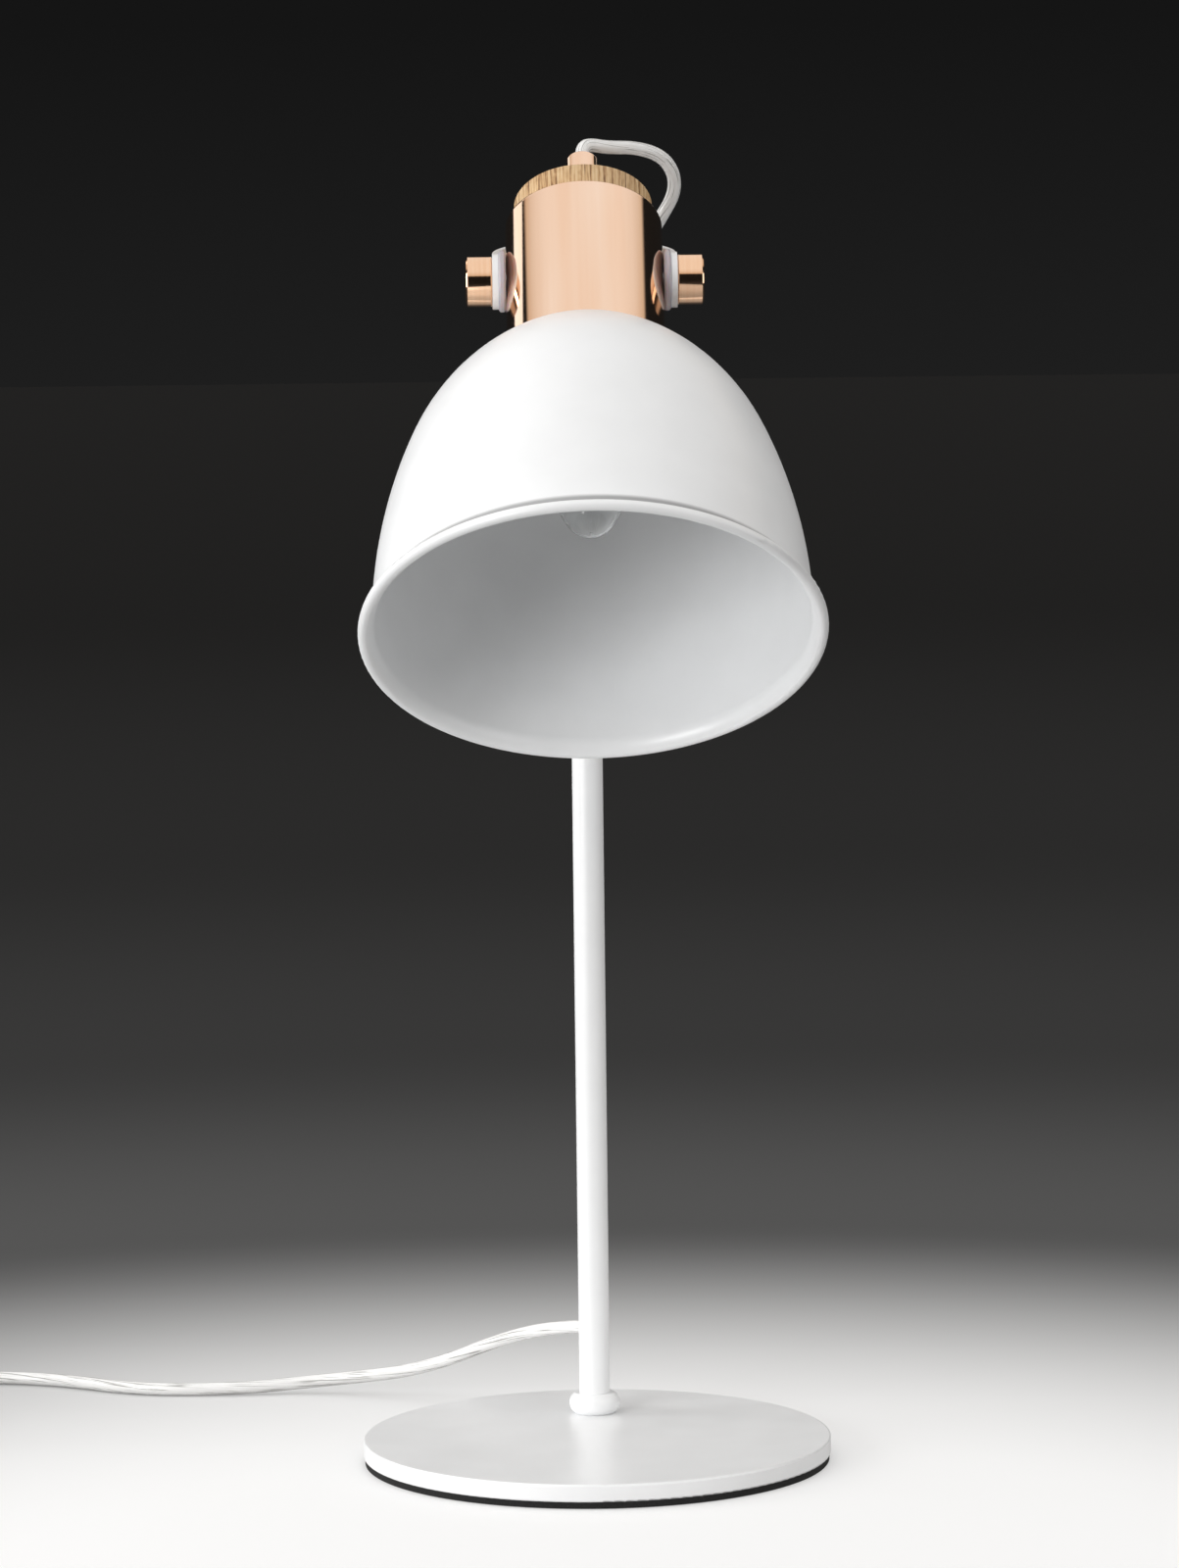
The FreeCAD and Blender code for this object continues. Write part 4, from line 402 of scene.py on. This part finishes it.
# Inside the stem and the head it is out of sight.
in_stem = [(0, 52.19, 424.19), (0, 41.9, 413.9), (0, 41.9, 400), (0, 41.9, 60), (0, 41.9, 40), (0, 53.6, 40)]
in_head = [tuple(to_head @ Vector((0, 0, z * mm)) / mm) for z in (57, 35, 9.7)]
for name, body, node, points in (
    ("in_stem", "stand", "cord_in_stem", in_stem),
    ("in_head", "head", "cord_in_head", in_head),
):
    outside, cores = flex(name, smooth_line(points))
    for piece in (outside, *cores):
        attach(piece, body)
    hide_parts(node)

# The lead leaves the stem's back near the foot, falls to the table in a slack curve to the left, and runs
# through the switch into a coil of its spare length, and then to the plug.
lead_points = [
    (0, 53.6, 40), (0, 62.96, 40), (-4.97, 71.54, 38.13), (-14.63, 79.0, 36.38), (-27.05, 88.02, 32.90),
    (-41.95, 100.5, 25.99), (-58.51, 112.98, 17.14), (-77.0, 125.01, 10.38), (-96.88, 133.47, 6.83),
    (-118.96, 137.48, 4.14), (-144.07, 134.03, 2.65), (-184.09, 135.03, 2.65), (-216.11, 156.53, 2.65),
    (-240.12, 165.0, 2.65), (-256.96, 165.45, 2.65), (-269.38, 165.0, 7.0), (-280.6, 165, 7.0),
    (-331.4, 165, 7), (-353.0, 165, 7), (-372.05, 154, 5.43), (-383.53, 134.95, 3.85),
]
# The coil winds inwards on its lower layer, climbs to the upper one at half way and winds outwards again.
coil_x, coil_y = -342.03, 108
coil_turns = 7
points_a_turn = 16
inner_reach = 20.9
turn_gap = 5.75
lower_layer = 3.85
for k in range(points_a_turn * coil_turns + 1):
    from_half_way = k / points_a_turn - coil_turns / 2
    reach = inner_reach + abs(from_half_way) * turn_gap
    climb = min(max(2 * from_half_way + 0.5, 0), 1)
    angle = math.pi + 2 * math.pi * k / points_a_turn
    lead_points.append((
        coil_x + reach * math.cos(angle), coil_y + reach * math.sin(angle),
        lower_layer + turn_gap * (3 * climb**2 - 2 * climb**3)))
lead_points += [(-382.6, 81.05, 9.6), (-372.05, 62.0, 8.35), (-353.0, 51, 7.1), (-331.0, 51, 7.1)]
lead_line = smooth_line(lead_points)
lead, lead_cores = flex("lead", lead_line)
for piece in (lead, *lead_cores):
    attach(piece, "stand")
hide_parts("cord_lead", "cord_link", "cord_coil", "cord_tail")

# Tie: a short woven polyester strap, bent tightly round the right side of the coil, with its ends sewn
# together. Its sizes are in millimetres.
strap_left, strap_right = -323.62, -301.68
strap_low, strap_high = 1.65, 11.8
corner_radius = 1.2
corner_steps = 6
half_width, half_thickness, edge = 3.5, 0.4, 0.2
# Woven polyester is dull, with threads in two directions, drawn coarse enough to show.
webbing, tree, shader = material("polyester_webbing_black", "#161616", Roughness=0.85)
where = add(tree, "TexCoord").outputs["Object"]
weft = add(tree, "TexWave", {
    "Vector": where, "Scale": 0.26 * per_mm, "Distortion": 0.4}, bands_direction="Y").outputs["Fac"]
warp = add(tree, "TexWave", {
    "Vector": where, "Scale": 0.2 * per_mm, "Distortion": 0.4}, bands_direction="DIAGONAL").outputs["Fac"]
weave = add(tree, "Math", {0: weft, 1: warp}, operation="MAXIMUM").outputs["Value"]
vary(tree, shader, weave, tones=((0.2, "#0b0b0b"), (0.9, "#262626")), depth=0.3 * mm)

strap_mesh = bpy.data.meshes.new("strap")
work = bmesh.new()
corners = [
    (strap_left, strap_low, 180), (strap_right, strap_low, 270),
    (strap_right, strap_high, 0), (strap_left, strap_high, 90),
]
strap_line = []
for x, z, first in corners:
    for k in range(corner_steps + 1):
        a = math.radians(first + 90 * k / corner_steps)
        strap_line.append((x + corner_radius * math.cos(a), z + corner_radius * math.sin(a), a))
section = [
    (-half_width, edge - half_thickness), (edge - half_width, -half_thickness),
    (half_width - edge, -half_thickness), (half_width, edge - half_thickness),
    (half_width, half_thickness - edge), (half_width - edge, half_thickness),
    (edge - half_width, half_thickness), (-half_width, half_thickness - edge),
]
rings = []
for x, z, a in strap_line:
    ring = [((x + t * math.cos(a)) * mm, (coil_y + w) * mm, (z + t * math.sin(a)) * mm) for w, t in section]
    rings.append([work.verts.new(place) for place in ring])
for ring, after in zip(rings, rings[1:] + rings[:1]):
    for k in range(len(section)):
        beside = (k + 1) % len(section)
        work.faces.new([ring[k], ring[beside], after[beside], after[k]])
bmesh.ops.recalc_face_normals(work, faces=work.faces)
work.to_mesh(strap_mesh)
work.free()
strap_mesh.polygons.foreach_set("use_smooth", [True] * len(strap_mesh.polygons))
strap_mesh.set_sharp_from_angle(angle=math.radians(35))
strap_mesh.materials.append(webbing)
strap = bpy.data.objects.new("coil_strap", strap_mesh)
scene.collection.objects.link(strap)
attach(strap, "stand")
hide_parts("coil_tie")

# Switch: two glossy white mouldings screwed together round the cord, with a rocker between them and brass
# terminals inside.
# Glossy plastic, moulded against polished steel, has faint clouds where it flowed.
plastic, tree, shader = material("plastic_moulded_gloss_white", "#ececea", Roughness=0.25)
where = add(tree, "TexCoord").outputs["Object"]
flow = add(tree, "TexNoise", {"Vector": where, "Scale": 0.2 * per_mm, "Detail": 3.0}).outputs["Fac"]
vary(tree, shader, flow, rough=(0.18, 0.32), depth=0.02 * mm, strength=0.4)
dress(plastic, "switch_base", "switch_cover", "switch_rocker", "plug_shell", "plug_relief")
dress(zinc, "switch_screws")

# Table: a wide sheet of pale paper, its colour near white round the lamp and falling to charcoal further off,
# a painted pool of light. What the camera sees of it is partly its own colour, and it sends less light up
# into the shade than it would on its own.
table_radius = 30.0
table_drop = 0.2 * mm
fade_middle = (0, 0.2, 0)
fade_start, fade_end = 0.2, 6.2
own_colour_share = 0.35
bounce_lost = 0.35
table_mesh = bpy.data.meshes.new("table_top")
work = bmesh.new()
bmesh.ops.create_circle(work, cap_ends=True, segments=64, radius=table_radius)
work.to_mesh(table_mesh)
work.free()
table_top = bpy.data.objects.new("table_top", table_mesh)
table_top.location = (0, 0, -table_drop)
scene.collection.objects.link(table_top)
paper, tree, shader = material("table_paper_pale", "#efefef", Roughness=0.9, Specular_IOR_Level=0.1)
where = add(tree, "TexCoord").outputs["Object"]
from_lamp = add(tree, "VectorMath", {0: where, 1: fade_middle}, operation="ADD").outputs["Vector"]
distance = add(tree, "VectorMath", {0: from_lamp}, operation="LENGTH").outputs["Value"]
share = add(tree, "MapRange", {
    "Value": distance, "From Min": fade_start, "From Max": fade_end}).outputs["Result"]
# Painted pool of light: near white by the lamp, dark grey from about 0.7 m off and charcoal beyond.
painted_pool_of_light = add(tree, "ValToRGB", {"Fac": share}, stops=(
    (0.0, "#f8f8f8"), (0.09, "#525252"), (0.2, "#353535"), (0.4, "#262626"), (1.0, "#171717")))
painted_pool_of_light.color_ramp.interpolation = "EASE"
tone = painted_pool_of_light.outputs["Color"]
tree.links.new(tone, shader.inputs["Base Color"])
lit = shader.outputs["BSDF"]
glow = add(tree, "Emission", {"Color": tone, "Strength": 1.0}).outputs["Emission"]
seen = add(tree, "LightPath").outputs["Is Camera Ray"]
glow_share = add(tree, "Math", {0: seen, 1: own_colour_share}, operation="MULTIPLY").outputs["Value"]
bounce = add(tree, "MixShader", {"Fac": bounce_lost, 1: lit}).outputs["Shader"]
bounce_or_seen = add(tree, "MixShader", {"Fac": seen, 1: bounce, 2: lit}).outputs["Shader"]
mixed = add(tree, "MixShader", {"Fac": glow_share, 1: bounce_or_seen, 2: glow}).outputs["Shader"]
tree.links.new(mixed, tree.nodes["Material Output"].inputs["Surface"])
table_mesh.materials.append(paper)

# Studio: a dark backdrop that the camera sees, and a broad soft light overhead, which lights the lamp and
# shows in the copper. Five soft lights stand round it: a key low on the left, one at each side, a weak fill,
# and a narrow one at the back, which draws the bright line down the copper.
world = bpy.data.worlds.new("studio")
scene.world = world
world.use_nodes = True
tree = world.node_tree
tree.nodes.clear()
direction = add(tree, "TexCoord").outputs["Generated"]
height = add(tree, "SeparateXYZ", {"Vector": direction}).outputs["Z"]
soft_top = add(tree, "ValToRGB", {"Fac": height}, stops=(
    (0.0, "#1c1c1c"), (0.41, "#1c1c1c"), (0.455, "#d9c9b7"), (0.6, "#f0ece8"), (0.75, "#fafafa"),
)).outputs["Color"]
near_level = add(tree, "MapRange", {
    "Value": height, "From Min": -0.014, "From Max": 0.086}).outputs["Result"]
backdrop = add(tree, "ValToRGB", {"Fac": near_level}, stops=(
    (0.0, "#1e1e1e"), (0.65, "#151515"))).outputs["Color"]
seen = add(tree, "LightPath").outputs["Is Camera Ray"]
lit = add(tree, "Background", {"Color": soft_top, "Strength": 1.0}).outputs["Background"]
shown = add(tree, "Background", {"Color": backdrop, "Strength": 1.0}).outputs["Background"]
mixed = add(tree, "MixShader", {"Fac": seen, 1: lit, 2: shown}).outputs["Shader"]
add(tree, "OutputWorld", {"Surface": mixed})


def soft_light(name, place, aim, width, height, power):
    """A flat soft light of a width and height in metres at a place, turned to what it lights."""
    lamp = bpy.data.objects.new(name, bpy.data.lights.new(name, "AREA"))
    lamp.data.shape = "RECTANGLE"
    lamp.data.size = width
    lamp.data.size_y = height
    lamp.data.energy = power
    lamp.location = place
    lamp.rotation_euler = (Vector(aim) - Vector(place)).to_track_quat("-Z", "Y").to_euler()
    lamp.visible_camera = False
    scene.collection.objects.link(lamp)


shade_front = (0, -0.05, 0.35)
soft_light("key", (-1.5, -1.7, 0.5), shade_front, 1.2, 0.9, 32.0)
soft_light("left_side", (-2.2, 0.1, 0.6), shade_front, 1.2, 1.2, 21.0)
soft_light("fill", (1.6, -1.5, 0.8), shade_front, 1.0, 1.0, 5.0)
soft_light("right_side", (2.2, -0.4, 0.7), shade_front, 1.2, 1.2, 8.5)
soft_light("left_strip", (-1.105, 0.9, 0.87), pivot, 0.39, 0.7, 1.1)

# Camera: a long lens two metres in front of the lamp at the height of its shade, one degree round to its
# left, tipped five degrees down and turned a little about its own axis, as the photograph was taken.
camera_place = (0, -2.0852, 0.4434)
tip_down = math.radians(5.001)
lean = math.radians(-0.675)
round_left = Matrix.Rotation(math.radians(-1.0), 4, "Z")
level = Vector((1, 0, 0))
upwards = Vector((0, math.sin(tip_down), math.cos(tip_down)))
across = level * math.cos(lean) + upwards * math.sin(lean)
upright = upwards * math.cos(lean) - level * math.sin(lean)
facing = Matrix((across, upright, across.cross(upright))).transposed()
camera = bpy.data.objects.new("camera", bpy.data.cameras.new("camera"))
camera.data.sensor_fit = "VERTICAL"
camera.data.sensor_height = 36.0
camera.data.lens = 126.0
camera.data.clip_end = 60.0
camera.matrix_world = round_left @ Matrix.Translation(camera_place) @ facing.to_4x4()
scene.collection.objects.link(camera)
scene.camera = camera
scene.view_settings.view_transform = "Standard"
